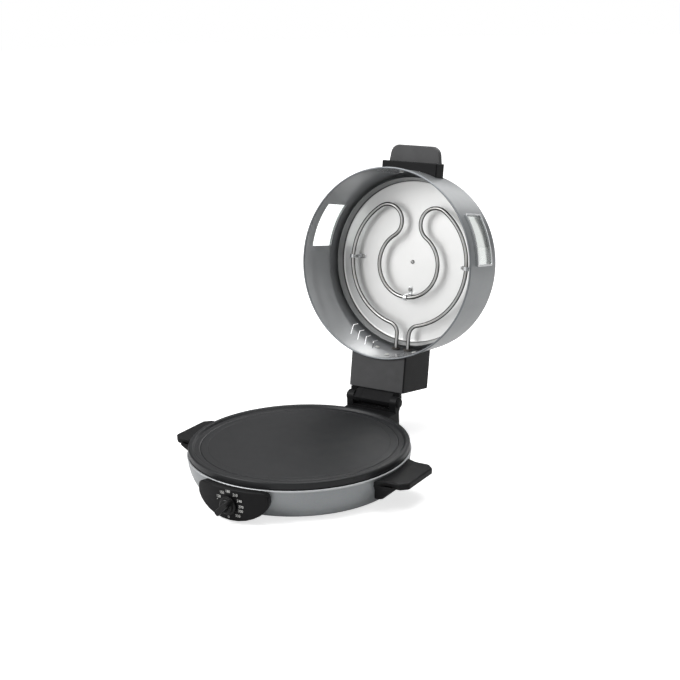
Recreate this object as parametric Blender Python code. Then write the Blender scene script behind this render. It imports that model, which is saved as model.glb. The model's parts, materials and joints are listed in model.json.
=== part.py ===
"""Arabic bread maker: a countertop cooker with a deep drum lid on a rear hinge, modelled with its lid open.

Metres, +Z up. The base's centre lies on the X = 0 plane, its control knob faces -Y and its hinge is at +Y.
The lid is drawn in drum coordinates: the origin is the centre of its rim, Z runs from the rim into the drum
and, when the lid is shut, X and Y match the base's own. Its parent empty sits on the hinge's axis and leans
the whole lid back.
"""

import math

import bmesh
import bpy
from mathutils import Matrix, Vector

# Clearances and cutting
SEAT_GAP = 0.0003
SLIP_GAP = 0.0004
OVERRUN = 0.020
WELD = 0.000001
SMOOTH_ANGLE = math.radians(32)
ROUND_SIDES = 48
HIDDEN_SIDES = 36
KNOB_SIDES = 24
SMALL_SIDES = 12
SCREW_SIDES = 8
ARC_STEPS = 5
SLOT_ROUND_SHARE = 0.3
BEAD_OPENING = math.radians(30)

# Base bowl, pressed from sheet
LIP_RADIUS = 0.165
LIP_HEIGHT = 0.0505
BEAD_RADIUS = 0.0015
BEAD_PROUD = 0.001
BASE_SHEET = 0.001
BOWL_SWEEP = 0.067
BOWL_BOTTOM = 0.005
FOOT_FILLET = 0.008
FLANGE_INSET = 0.035

# Bottom cover and feet
COVER_LAP = 0.007
COVER_SHEET = 0.0008
COVER_RISE = 0.002
COVER_BORDER = 0.026
COVER_SLOTS = 8
COVER_SLOT_CIRCLE = 0.040
COVER_SLOT_LENGTH = 0.026
COVER_SLOT_WIDTH = 0.004
POST_COUNT = 3
POST_INSET = 0.030
POST_RADIUS = 0.004
FOOT_RADIUS = 0.011
FOOT_CHAMFER = 0.001
FOOT_INSET = 0.011
FOOT_STEM = 0.0036
FOOT_HEAD = 0.005
FOOT_HEAD_HEIGHT = 0.002

# Baking plate, cast with a raised rim that the shut lid drops inside
PLATE_INSET = 0.002
PLATE_RISE = 0.011
PLATE_ROUND = 0.0026
PLATE_RIM_WIDTH = 0.0068
RIM_SLOPE = 0.0024
RIM_RISE = 0.0033
PLATE_THICKNESS = 0.005
GROOVE_INSET = 0.0083
GROOVE_WIDTH = 0.003
GROOVE_DEPTH = 0.0008
SKIRT_WALL = 0.003
SKIRT_DEPTH = 0.006
PLATE_CHAMFER = 0.0015
BOSS_INSET = 0.033
BOSS_RADIUS = 0.005

# Heating tubes, one under the plate and one in the lid
TUBE_RADIUS = 0.0032
LEG_SPREAD = 0.011
RING_INSET = 0.068
LOWER_CORNER = 0.014
LOWER_LEG = 0.031
CLAMP_COUNT = 3
CLAMP_LENGTH = 0.056
CLAMP_WIDTH = 0.012
CLAMP_THICKNESS = 0.002
CLAMP_HEAD = 0.0042
CLAMP_HEAD_HEIGHT = 0.003
BLOCK_WIDTH = 0.044
BLOCK_LENGTH = 0.020
BLOCK_HEIGHT = 0.012
BLOCK_SOCKET = 0.008
BLOCK_EDGE = 0.001

# Lower reflector pan
PAN_MARGIN = 0.013
PAN_SLOPE = 0.010
PAN_SHEET = 0.0006
PAN_HEIGHT = 0.022
PAN_RISE = 0.006

# Control panel, wrapped round the front of the bowl
PANEL_STAND = 0.012
PANEL_HALF = 0.061
PANEL_DROP = 0.0005
PANEL_SHOULDER_DROP = 0.009
PANEL_WAIST = 0.033
PANEL_BOTTOM = 0.003
PANEL_CORNER = 0.012
PANEL_WALL = 0.0025
PANEL_EDGE = 0.0012
PANEL_COLUMNS = 14
PANEL_BELLY_POWER = 0.625

# Thermostat and knob
KNOB_HEIGHT = 0.0263
KNOB_RADIUS = 0.0135
KNOB_SKIRT = 0.004
KNOB_BODY = 0.0105
KNOB_DEPTH = 0.019
KNOB_DISH = 0.009
KNOB_ROUND = 0.001
GRIP_WIDTH = 0.0085
GRIP_LENGTH = 0.026
KNOB_BORE = 0.008
SHAFT_RADIUS = 0.003
BUSH_RADIUS = 0.005
BUSH_BORE = 0.007
THERMOSTAT_WIDTH = 0.034
THERMOSTAT_DEPTH = 0.022
THERMOSTAT_HEIGHT = 0.022
THERMOSTAT_CORNER = 0.0028
KNOB_OFF_ANGLE = math.radians(45)

# Side handles
HANDLE_DROP = 0.0045
HANDLE_THICKNESS = 0.0095
HANDLE_LENGTH = 0.039
HANDLE_ROOT_HALF = 0.050
HANDLE_HALF = 0.043
HANDLE_NECK = 0.017
HANDLE_CORNER = 0.010
HANDLE_EDGE = 0.0015
HANDLE_WALL = 0.003
GUSSET_BOTTOM = 0.0135
GUSSET_BOTTOM_HALF = 0.038
GUSSET_BOTTOM_INSET = 0.005
HANDLE_OVERHANG = 0.017
GUSSET_ROUND = 0.002
GUSSET_FLARE_POWER = 0.7
GUSSET_LEVEL_SHARES = (0, 0.1, 0.4, 1)

# Rear hinge
HINGE_OUT = 0.052
HINGE_DROP = 0.0015
LID_OPEN_ANGLE = math.radians(100)
POST_HALF = 0.045
POST_DROP = 0.004
POST_BOTTOM = 0.004
POST_REAR = 0.003
POST_WALL = 0.0035
POST_CORNER = 0.006
EAR_WIDTH = 0.0115
BARREL_RADIUS = 0.010
STOP_FRONT = 0.0035
PIN_RADIUS = 0.004
CAP_RADIUS = 0.0085
CAP_DEPTH = 0.0036
CAP_RIM = 0.0012
CAP_CROWN = 0.0062
GLAND_HEIGHT = 0.022
GLAND_FLANGE = 0.009
GLAND_STEM = 0.0062
GLAND_BORE = 0.0040
GLAND_LIP = 0.003
GLAND_DEPTH = 0.010

# Lid drum
LID_CLEARANCE = 0.0013
LID_BEAD_RADIUS = 0.0015
LID_BEAD_PROUD = 0.001
LID_SHEET = 0.0008
LID_TAPER = 0.0053
LID_SHOULDER = 0.010
LID_DEPTH = 0.110
LID_CROWN = 0.0015

# Lid windows
WINDOW_CENTRE = math.radians(19.7)
WINDOW_WIDTH = 0.0765
WINDOW_NEAR = 0.0225
WINDOW_INSET = 0.035
WINDOW_STEPS = 6
GLASS_THICKNESS = 0.003
GLASS_LAP = 0.0015
FRAME_BORDER = 0.003
FRAME_LIP = 0.0012

# Lid steam slots
SLOT_COUNT = 4
SLOT_NEAREST = 0.053
SLOT_PITCH = 0.0155
SLOT_INSET = 0.033
SLOT_LENGTH = 0.030
SLOT_SLANT = 0.018
SLOT_ARM = 0.015
SLOT_WIDTH = 0.0026

# Upper reflector
REFLECTOR_GAP = 0.014
REFLECTOR_BORDER = 0.0152
REFLECTOR_CLEARANCE = 0.0006
REFLECTOR_SLANT = 0.0052
REFLECTOR_BEND = 0.003
REFLECTOR_SHEET = 0.0006
REFLECTOR_BRIM = 0.0012

# Upper element, bent to a horned omega
ELEMENT_STAND = 0.015
OMEGA_INSET = 0.0412
OMEGA_INNER_SHARE = 0.5143
HORN_SHARE = 0.258
HORN_ANGLE = math.radians(55.3)
OMEGA_CORNER = 0.018
OMEGA_LEG_OUT = 0.0218
TUBE_STEP = math.radians(14)
HIDDEN_STEP = math.radians(18)
CORNER_STEP = math.radians(22)
CLIP_REACH = 0.012
CLIP_WIDTH = 0.006
CLIP_CLEARANCE = 0.0007
CLIP_SHEET = 0.0009
CLIP_HEEL = 0.0045
SCREW_HEAD = 0.0030
SCREW_HEAD_HEIGHT = 0.0018
SCREW_SHANK = 0.0015
SPACER_RADIUS = 0.0035

# Leg bushings
BUSHING_RADIUS = 0.005
BUSHING_FLANGE = 0.007
BUSHING_LIP = 0.002
BUSHING_LENGTH = 0.012

# Lid handle
GRIP_BLOCK_HALF = 0.050
GRIP_BLOCK_RISE = 0.0158
GRIP_BLOCK_DEPTH = 0.026
GRIP_BLOCK_INSET = 0.0255
GRIP_THICKNESS = 0.009
GRIP_SETBACK = 0.0006
GRIP_ROOT_HALF = 0.0475
GRIP_TIP_HALF = 0.0425
GRIP_RISE = 0.0423
GRIP_CORNER = 0.015
GRIP_EDGE = 0.0014
GRIP_SCREW_X = 0.020
LID_SCREW_HEAD = 0.0038
LID_SCREW_SHANK = 0.002
LID_SCREW_LENGTH = 0.012

# Hinge housing on the lid
HOUSING_HALF = 0.050
HOUSING_NEAR = 0.004
HOUSING_INSET = 0.021
HOUSING_CLEARANCE = 0.0150
HOUSING_WALL = 0.0025
HOUSING_CORNER = 0.004
HOUSING_EDGE = 0.001
KNUCKLE_WIDTH = 0.0113
KNUCKLE_FOOT = 0.012
HOUSING_BOSS = 0.005
HOUSING_SCREW_ANGLE = math.radians(13.5)
HOUSING_SCREW_INSET = 0.029
HOUSING_SCREW_NEAR = 0.0335

# Places that follow from the sizes above, each from the piece that carries it
WALL_TOP_RADIUS = LIP_RADIUS - BEAD_PROUD
FLANGE_RADIUS = LIP_RADIUS - FLANGE_INSET
COVER_RADIUS = FLANGE_RADIUS + COVER_LAP
COVER_RISE_RADIUS = FLANGE_RADIUS - COVER_BORDER
FOOT_CIRCLE = FLANGE_RADIUS - FOOT_INSET
PLATE_RADIUS = LIP_RADIUS - PLATE_INSET
PLATE_TOP = LIP_HEIGHT + PLATE_RISE
RIM_INNER = PLATE_RADIUS - PLATE_RIM_WIDTH
SEAT_OUTER = RIM_INNER - RIM_SLOPE
COOK_HEIGHT = PLATE_TOP - RIM_RISE
GROOVE_RADIUS = SEAT_OUTER - GROOVE_INSET
LOWER_RING = PLATE_RADIUS - RING_INSET
LOWER_LEG_END = LOWER_RING + LOWER_LEG
BOSS_CIRCLE = LOWER_RING - BOSS_INSET
PAN_FLAT = LOWER_RING + PAN_MARGIN
PAN_RADIUS = PAN_FLAT + PAN_SLOPE
POST_CIRCLE = PAN_FLAT - POST_INSET
FACE_RADIUS = LIP_RADIUS + PANEL_STAND
PANEL_TOP = LIP_HEIGHT - PANEL_DROP
PANEL_SHOULDER = PANEL_TOP - PANEL_SHOULDER_DROP
HANDLE_TOP = LIP_HEIGHT - HANDLE_DROP
HANDLE_REACH = LIP_RADIUS + HANDLE_LENGTH
GUSSET_BOTTOM_REACH = LIP_RADIUS - GUSSET_BOTTOM_INSET
GUSSET_TOP_REACH = HANDLE_REACH - HANDLE_OVERHANG
HINGE_Y = LIP_RADIUS + HINGE_OUT
HINGE_Z = PLATE_TOP - HINGE_DROP
POST_TOP = LIP_HEIGHT - POST_DROP
SWEEP_CENTRE = Vector((WALL_TOP_RADIUS - BOWL_SWEEP, LIP_HEIGHT - 2 * BEAD_RADIUS))
FILLET_HEIGHT = BOWL_BOTTOM + FOOT_FILLET
FILLET_REACH = math.sqrt((BOWL_SWEEP - FOOT_FILLET) ** 2 - (SWEEP_CENTRE.y - FILLET_HEIGHT) ** 2)
FILLET_CENTRE = Vector((SWEEP_CENTRE.x + FILLET_REACH, FILLET_HEIGHT))
COVER_TOP = BOWL_BOTTOM - SEAT_GAP
COVER_UNDER = COVER_TOP - COVER_SHEET
FACET_SAG = LIP_RADIUS * (1 - math.cos(math.pi / ROUND_SIDES))
SKIRT_OUTER = LIP_RADIUS - 2 * BEAD_RADIUS - SLIP_GAP
PLATE_UNDER = COOK_HEIGHT - PLATE_THICKNESS
LOWER_TUBE_HEIGHT = PLATE_UNDER - SEAT_GAP - TUBE_RADIUS
BOSS_BOTTOM = LOWER_TUBE_HEIGHT - TUBE_RADIUS
LID_RIM_RADIUS = SEAT_OUTER - LID_CLEARANCE
LID_WALL_RIM = LID_RIM_RADIUS - LID_BEAD_PROUD
LID_BACK_RADIUS = LID_WALL_RIM - LID_TAPER
WINDOW_FAR = LID_DEPTH - WINDOW_INSET
SLOT_BEND = LID_DEPTH - SLOT_INSET
REFLECTOR_DEPTH = LID_DEPTH - REFLECTOR_GAP
REFLECTOR_FLAT = LID_BACK_RADIUS - REFLECTOR_BORDER
ELEMENT_DEPTH = REFLECTOR_DEPTH - ELEMENT_STAND
OMEGA_OUTER = LID_BACK_RADIUS - OMEGA_INSET
OMEGA_INNER = OMEGA_OUTER * OMEGA_INNER_SHARE
HORN_RADIUS = OMEGA_OUTER * HORN_SHARE
OMEGA_LEG_END = LID_BACK_RADIUS + OMEGA_LEG_OUT
GRIP_BLOCK_TOP = LID_BACK_RADIUS + GRIP_BLOCK_RISE
GRIP_BLOCK_FAR = LID_DEPTH - GRIP_BLOCK_INSET
GRIP_BLOCK_NEAR = GRIP_BLOCK_FAR - GRIP_BLOCK_DEPTH
GRIP_FAR = GRIP_BLOCK_FAR - GRIP_SETBACK
GRIP_NEAR = GRIP_FAR - GRIP_THICKNESS
GRIP_TIP = LID_BACK_RADIUS + GRIP_RISE
HOUSING_FAR = LID_DEPTH - HOUSING_INSET
HOUSING_SCREW_FAR = HOUSING_FAR - HOUSING_SCREW_INSET
SHOULDER_DEPTH = LID_DEPTH - LID_SHOULDER
RIM_OFFSET = COOK_HEIGHT + SEAT_GAP - HINGE_Z
DRUM_TAPER = math.atan((LID_WALL_RIM - LID_BACK_RADIUS) / (SHOULDER_DEPTH - 2 * LID_BEAD_RADIUS))
LEAN = LID_OPEN_ANGLE - math.pi / 2
EAR_INNER = POST_HALF - EAR_WIDTH
KNUCKLE_OUTER = EAR_INNER - SEAT_GAP
KNOB_BACK = FACE_RADIUS + SLIP_GAP
FRONT_REACH = KNOB_BACK + KNOB_DEPTH
SHOULDER_REACH = HINGE_Y + LID_BACK_RADIUS - LID_SHOULDER
SHOULDER_LIFT = SHOULDER_DEPTH + RIM_OFFSET
BACK_REACH = HINGE_Y + SHOULDER_REACH * math.sin(LEAN) + SHOULDER_LIFT * math.cos(LEAN) + LID_SHOULDER
BASE_CENTRE_Y = (FRONT_REACH - BACK_REACH) / 2


def clear_scene():
    for obj in list(bpy.data.objects):
        bpy.data.objects.remove(obj)


def material(name, colour, roughness, metallic=0.0, alpha=1.0):
    made = bpy.data.materials.new(name)
    made.use_nodes = True
    shader = made.node_tree.nodes["Principled BSDF"]
    shader.inputs["Base Color"].default_value = (*colour, 1.0)
    shader.inputs["Roughness"].default_value = roughness
    shader.inputs["Metallic"].default_value = metallic
    shader.inputs["Alpha"].default_value = alpha
    return made


def add_empty(name, location, parent=None, tilt=0.0):
    empty = bpy.data.objects.new(name, None)
    bpy.context.scene.collection.objects.link(empty)
    empty.parent = parent
    empty.location = location
    empty.rotation_euler = (tilt, 0, 0)
    return empty


def add_object(name, bm, parent, mat=None, location=(0, 0, 0)):
    """Links a finished bmesh; a piece without a material is a cutter and stays out of the model."""
    bmesh.ops.remove_doubles(bm, verts=bm.verts, dist=WELD)
    bmesh.ops.recalc_face_normals(bm, faces=bm.faces)
    mesh = bpy.data.meshes.new(name)
    bm.to_mesh(mesh)
    bm.free()
    mesh.shade_smooth()
    mesh.set_sharp_from_angle(angle=SMOOTH_ANGLE)
    obj = bpy.data.objects.new(name, mesh)
    bpy.context.scene.collection.objects.link(obj)
    obj.parent = parent
    obj.location = location
    if mat is None:
        obj.hide_render = True
        obj.display_type = "WIRE"
    else:
        mesh.materials.append(mat)
    return obj


def combine(target, name, bm, operation):
    """A Boolean with a solid that is drawn in the target's own coordinates."""
    tool = add_object(name, bm, target.parent, location=target.location)
    modifier = target.modifiers.new(name, "BOOLEAN")
    modifier.object = tool
    modifier.operation = operation
    return target


def cut(target, name, bm):
    return combine(target, name, bm, "DIFFERENCE")


def join(target, name, bm):
    return combine(target, name, bm, "UNION")


def transformed(bm, matrix):
    bmesh.ops.transform(bm, matrix=matrix, verts=bm.verts)
    return bm


def gathered(pieces):
    """One bmesh that holds several separate closed pieces, for use as a single cutter."""
    whole = bmesh.new()
    for piece in pieces:
        bmesh.ops.recalc_face_normals(piece, faces=piece.faces)
        copy = bpy.data.meshes.new("piece")
        piece.to_mesh(copy)
        piece.free()
        whole.from_mesh(copy)
        bpy.data.meshes.remove(copy)
    return whole


def lathe(profile, sides=ROUND_SIDES, closed=False):
    """Turns (radius, height) points about Z; an open profile starts and ends on the axis."""
    bm = bmesh.new()
    verts = [bm.verts.new((radius, 0, height)) for radius, height in profile]
    chain = verts + verts[:1] if closed else verts
    edges = [bm.edges.new(pair) for pair in zip(chain, chain[1:])]
    bmesh.ops.spin(
        bm, geom=verts + edges, cent=(0, 0, 0), axis=(0, 0, 1), angle=math.tau, steps=sides, use_merge=True
    )
    bmesh.ops.remove_doubles(bm, verts=bm.verts, dist=WELD)
    return bm


def loft(sections, closed=False):
    """Joins loops of as many points each by quads, and caps both ends unless the row of loops is closed."""
    bm = bmesh.new()
    rings = [[bm.verts.new(point) for point in section] for section in sections]
    pairs = list(zip(rings, rings[1:]))
    if closed:
        pairs.append((rings[-1], rings[0]))
    else:
        bm.faces.new(rings[0])
        bm.faces.new(rings[-1])
    for low, high in pairs:
        count = len(low)
        for i in range(count):
            k = (i + 1) % count
            bm.faces.new((low[i], low[k], high[k], high[i]))
    return bm


def arc(centre, radius, start, end, steps):
    """Points on an arc in a plane, from one angle to the other, both included."""
    middle = Vector(centre)
    angles = [start + (end - start) * i / steps for i in range(steps + 1)]
    return [middle + Vector((radius * math.cos(angle), radius * math.sin(angle))) for angle in angles]


def rounded(corners, steps=3):
    """A closed outline from (x, y, fillet) corners, each fillet drawn as an arc."""
    outline = []
    count = len(corners)
    for i, (x, y, fillet) in enumerate(corners):
        here = Vector((x, y))
        if fillet == 0:
            outline.append(here)
            continue
        before = (Vector(corners[i - 1][:2]) - here).normalized()
        after = (Vector(corners[(i + 1) % count][:2]) - here).normalized()
        half = before.angle(after) / 2
        centre = here + (before + after).normalized() * fillet / math.sin(half)
        first = here + before * fillet / math.tan(half) - centre
        last = here + after * fillet / math.tan(half) - centre
        sweep = first.angle_signed(last)
        for k in range(steps + 1):
            outline.append(centre + Matrix.Rotation(-sweep * k / steps, 2) @ first)
    return outline


def rectangle(low_x, high_x, low_y, high_y, fillet, steps=3):
    """A rectangle's outline with rounded corners."""
    places = ((low_x, low_y), (high_x, low_y), (high_x, high_y), (low_x, high_y))
    return rounded([(x, y, fillet) for x, y in places], steps)


def inset(outline, distance):
    """The outline drawn in by a distance, with as many points."""
    area = sum(a.x * b.y - b.x * a.y for a, b in zip(outline, outline[1:] + outline[:1]))
    side = math.copysign(distance, area)
    drawn = []
    for i, here in enumerate(outline):
        before = (here - outline[i - 1]).normalized()
        after = (outline[(i + 1) % len(outline)] - here).normalized()
        first = Vector((-before.y, before.x))
        last = Vector((-after.y, after.x))
        drawn.append(here + (first + last) * side / (1 + first.dot(last)))
    return drawn


def slab(outline, low, high, lay, edge=0):
    """An outline given thickness along the third axis of a layout function, with softened edges."""
    if edge == 0:
        return loft([[lay(p.x, p.y, low) for p in outline], [lay(p.x, p.y, high) for p in outline]])
    drawn = inset(outline, edge)
    levels = ((drawn, low), (outline, low + edge), (outline, high - edge), (drawn, high))
    return loft([[lay(p.x, p.y, level) for p in shape] for shape, level in levels])


def lay_plan(x, y, z):
    return (x, y, z)


def lay_front(x, z, y):
    return (x, y, z)


def lay_side(y, z, x):
    return (x, y, z)


def lay_drum(x, away, depth):
    """Drum coordinates from a place across the lid, its distance from the hinge's side, and its depth."""
    return (x, -away, depth)


def rod(radius, start, end, sides=SMALL_SIDES):
    """A plain round bar between two heights on the Z axis."""
    return lathe([(0, start), (radius, start), (radius, end), (0, end)], sides)


def along_y(x, z):
    """Turns a Z axis piece to run along +Y."""
    return Matrix.Translation((x, 0, z)) @ Matrix.Rotation(-math.pi / 2, 4, "X")


def along_x(y, z, side=1):
    """Turns a Z axis piece to run along X, outward on the given side."""
    return Matrix.Translation((0, y, z)) @ Matrix.Rotation(side * math.pi / 2, 4, "Y")


def rod_along_y(radius, start, end, x, z):
    return transformed(rod(radius, start, end), along_y(x, z))


def rod_along_x(radius, half_length, y, z):
    return transformed(rod(radius, -half_length, half_length), along_x(y, z))


def screw_hole(radius, frame, start=-OVERRUN / 2, end=OVERRUN / 2):
    """A clearance hole for a screw, along a frame's Z axis."""
    return transformed(rod(radius + SLIP_GAP, start, end, SCREW_SIDES), frame)


def bowl_wall(offset):
    """The bowl's side from its top to its underside, drawn in from the outer face by an offset."""
    meeting = math.atan2(SWEEP_CENTRE.y - FILLET_CENTRE.y, FILLET_CENTRE.x - SWEEP_CENTRE.x)
    side = arc(SWEEP_CENTRE, BOWL_SWEEP - offset, 0, -meeting, ARC_STEPS)
    corner = arc(FILLET_CENTRE, FOOT_FILLET - offset, -meeting, -math.pi / 2, 2)
    return side + corner[1:]


def bowl_radius(height, offset=0.0):
    """The bowl's radius at a height on its swept side."""
    return SWEEP_CENTRE.x + math.sqrt((BOWL_SWEEP - offset) ** 2 - (SWEEP_CENTRE.y - height) ** 2)


def bowl_solid(gap):
    """The space that the bowl fills, grown by a gap, to shape what is fastened to it."""
    side = bowl_wall(-gap)
    rim = LIP_RADIUS + gap
    head = [(0, LIP_HEIGHT + OVERRUN), (rim, LIP_HEIGHT + OVERRUN), (rim, SWEEP_CENTRE.y - gap)]
    return lathe(head + [(p.x, p.y) for p in side] + [(side[-1].x, -OVERRUN), (0, -OVERRUN)])


def drum_radius(depth, offset=0.0):
    """The drum's radius at a depth on its tapered wall."""
    share = (depth - 2 * LID_BEAD_RADIUS) / (SHOULDER_DEPTH - 2 * LID_BEAD_RADIUS)
    return LID_WALL_RIM + (LID_BACK_RADIUS - LID_WALL_RIM) * share - offset


def drum_wall(offset):
    """The drum from the middle of its crown to its rim, drawn in from the outer face by an offset."""
    centre = (LID_BACK_RADIUS - LID_SHOULDER, SHOULDER_DEPTH)
    shoulder = arc(centre, LID_SHOULDER - offset, math.pi / 2, 0, 3)
    crown = [Vector((0, LID_DEPTH + LID_CROWN - offset))]
    rim_depth = 2 * LID_BEAD_RADIUS
    return crown + shoulder + [Vector((drum_radius(rim_depth, offset), rim_depth))]


def drum_solid(gap):
    """The space that the drum fills, grown by a gap, to shape what is fastened to it."""
    wall = drum_wall(-gap)
    return lathe([(p.x, p.y) for p in wall] + [(wall[-1].x, -OVERRUN), (0, -OVERRUN)])


def on_drum(angle, depth, lift=0.0):
    """A place on the drum's wall: the angle is 0 at +X and a right angle at the handle."""
    radius = drum_radius(depth) + lift
    return (radius * math.cos(angle), -radius * math.sin(angle), depth)


def out_of_drum(angle, depth, lift=0.0):
    """Turns a Z axis piece to run out through the drum's wall, square to it, its +X side towards the rim."""
    place = Matrix.Translation(on_drum(angle, depth, lift))
    return place @ Matrix.Rotation(-angle, 4, "Z") @ Matrix.Rotation(math.pi / 2 - DRUM_TAPER, 4, "Y")


def ring_of(count, circle, start=0.0):
    """Places spaced evenly round a circle, as (angle, x, y)."""
    for i in range(count):
        angle = start + math.tau * i / count
        yield angle, circle * math.cos(angle), circle * math.sin(angle)


def make_base_shell(parent, mat):
    bead_centre = (LIP_RADIUS - BEAD_RADIUS, LIP_HEIGHT - BEAD_RADIUS)
    bead = arc(bead_centre, BEAD_RADIUS, math.pi + BEAD_OPENING, -BEAD_OPENING, 4)
    flange = [Vector((FLANGE_RADIUS, BOWL_BOTTOM)), Vector((FLANGE_RADIUS, BOWL_BOTTOM + BASE_SHEET))]
    profile = bowl_wall(0) + flange + bowl_wall(BASE_SHEET)[::-1] + bead
    shell = add_object("base_shell", lathe(profile, closed=True), parent, mat)
    outside = LIP_RADIUS + OVERRUN
    shaft_hole = rod_along_y(BUSH_RADIUS + SLIP_GAP, -outside, -FLANGE_RADIUS, 0, KNOB_HEIGHT)
    wire_hole = rod_along_y(GLAND_STEM, FLANGE_RADIUS, outside, 0, GLAND_HEIGHT)
    return cut(shell, "base_shell_holes", gathered([shaft_hole, wire_hole]))


def make_bottom_cover(parent, mat):
    foot = COVER_RISE_RADIUS + COVER_RISE
    raised = COVER_UNDER + COVER_RISE
    under = [(0, raised), (COVER_RISE_RADIUS, raised), (foot, COVER_UNDER), (COVER_RADIUS, COVER_UNDER)]
    over = [(radius, height + COVER_SHEET) for radius, height in reversed(under)]
    cover = add_object("bottom_cover", lathe(under + over, HIDDEN_SIDES), parent, mat)
    slots = []
    for angle, x, y in ring_of(COVER_SLOTS, COVER_SLOT_CIRCLE):
        half = COVER_SLOT_LENGTH / 2
        tip = COVER_SLOT_WIDTH / 2
        outline = rectangle(-half, half, -tip, tip, COVER_SLOT_WIDTH * SLOT_ROUND_SHARE, 1)
        turn = Matrix.Translation((x, y, 0)) @ Matrix.Rotation(angle, 4, "Z")
        slots.append(transformed(slab(outline, -OVERRUN, OVERRUN, lay_plan), turn))
    for _, x, y in ring_of(4, FOOT_CIRCLE, math.pi / 4):
        hole = rod(FOOT_STEM + SLIP_GAP, -OVERRUN, OVERRUN, SCREW_SIDES)
        slots.append(transformed(hole, Matrix.Translation((x, y, 0))))
    cut(cover, "bottom_cover_holes", gathered(slots))
    posts = []
    for _, x, y in ring_of(POST_COUNT, POST_CIRCLE, math.pi / 2):
        post = rod(POST_RADIUS, raised + COVER_SHEET / 2, PAN_HEIGHT - SEAT_GAP, SCREW_SIDES)
        posts.append(transformed(post, Matrix.Translation((x, y, 0))))
    return join(cover, "bottom_cover_posts", gathered(posts))


def make_foot(name, x, y, top, stem_top, parent, mat):
    """A push-in rubber foot: its stem goes up through a sheet or a floor and swells above it."""
    profile = [
        (0, 0),
        (FOOT_RADIUS - FOOT_CHAMFER, 0),
        (FOOT_RADIUS, FOOT_CHAMFER),
        (FOOT_RADIUS, top),
        (FOOT_STEM, top),
        (FOOT_STEM, stem_top),
        (FOOT_HEAD, stem_top),
        (FOOT_STEM, stem_top + FOOT_HEAD_HEIGHT),
        (0, stem_top + FOOT_HEAD_HEIGHT),
    ]
    return add_object(name, lathe(profile, SMALL_SIDES), parent, mat, (x, y, 0))


def make_feet(parent, mat):
    names = ("foot_rear_right", "foot_rear_left", "foot_front_left", "foot_front_right")
    for name, (_, x, y) in zip(names, ring_of(4, FOOT_CIRCLE, math.pi / 4)):
        make_foot(name, x, y, COVER_UNDER - SEAT_GAP, COVER_TOP + SEAT_GAP, parent, mat)


def make_baking_plate(parent, mat):
    groove = GROOVE_WIDTH / 2
    lip_rest = LIP_HEIGHT + SEAT_GAP
    skirt_inner = SKIRT_OUTER - SKIRT_WALL
    skirt_bottom = LIP_HEIGHT - SKIRT_DEPTH
    edge = arc((PLATE_RADIUS - PLATE_ROUND, PLATE_TOP - PLATE_ROUND), PLATE_ROUND, math.pi / 2, 0, 3)
    profile = [
        (0, COOK_HEIGHT),
        (GROOVE_RADIUS - groove, COOK_HEIGHT),
        (GROOVE_RADIUS, COOK_HEIGHT - GROOVE_DEPTH),
        (GROOVE_RADIUS + groove, COOK_HEIGHT),
        (SEAT_OUTER, COOK_HEIGHT),
        ((SEAT_OUTER + RIM_INNER) / 2, (COOK_HEIGHT + PLATE_TOP) / 2),
        (RIM_INNER, PLATE_TOP),
        *((p.x, p.y) for p in edge),
        (PLATE_RADIUS, lip_rest + PLATE_CHAMFER),
        (PLATE_RADIUS - PLATE_CHAMFER / 2, lip_rest),
        (SKIRT_OUTER, lip_rest),
        (SKIRT_OUTER, skirt_bottom),
        (skirt_inner, skirt_bottom),
        (skirt_inner, PLATE_UNDER),
        (0, PLATE_UNDER),
    ]
    plate = add_object("baking_plate", lathe(profile), parent, mat)
    bosses = []
    for _, x, y in ring_of(CLAMP_COUNT, BOSS_CIRCLE, -math.pi / 2):
        boss = rod(BOSS_RADIUS, BOSS_BOTTOM, PLATE_UNDER + PLATE_THICKNESS / 2, SCREW_SIDES)
        bosses.append(transformed(boss, Matrix.Translation((x, y, 0))))
    return join(plate, "baking_plate_bosses", gathered(bosses))


def make_tube(name, points, parent, mat, location):
    """A heating tube: a bevelled curve with filled ends through points in a plane."""
    curve = bpy.data.curves.new(name, "CURVE")
    curve.dimensions = "3D"
    curve.bevel_depth = TUBE_RADIUS
    curve.bevel_resolution = 2
    curve.use_fill_caps = True
    spline = curve.splines.new("POLY")
    spline.points.add(len(points) - 1)
    for point, place in zip(spline.points, points):
        point.co = (*place, 1)
    spline.use_smooth = True
    curve.materials.append(mat)
    tube = bpy.data.objects.new(name, curve)
    bpy.context.scene.collection.objects.link(tube)
    tube.parent = parent
    tube.location = location
    return tube


def swept(centre, radius, start, end, step):
    """Points along an arc, spaced by no more than a step of angle."""
    return arc(centre, radius, start, end, max(2, math.ceil(abs(end - start) / step)))


def mirrored_path(half):
    """Adds the mirror image of a path that ends on the X = 0 line."""
    return half + [Vector((-p.x, p.y)) for p in reversed(half[:-1])]


def make_lower_element(parent, mat):
    """A ring under the plate, its two legs running to the terminals at the rear."""
    corner_x = LEG_SPREAD + LOWER_CORNER
    corner_y = math.sqrt((LOWER_RING + LOWER_CORNER) ** 2 - corner_x**2)
    meeting = math.atan2(corner_y, corner_x)
    leg = [Vector((LEG_SPREAD, LOWER_LEG_END))]
    corner = swept((corner_x, corner_y), LOWER_CORNER, math.pi, math.pi + meeting, CORNER_STEP)
    ring = swept((0, 0), LOWER_RING, meeting, -math.pi / 2, HIDDEN_STEP)
    path = mirrored_path(leg + corner + ring[1:])
    points = [(p.x, p.y, 0) for p in path]
    return make_tube("lower_element", points, parent, mat, (0, 0, LOWER_TUBE_HEIGHT))


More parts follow.
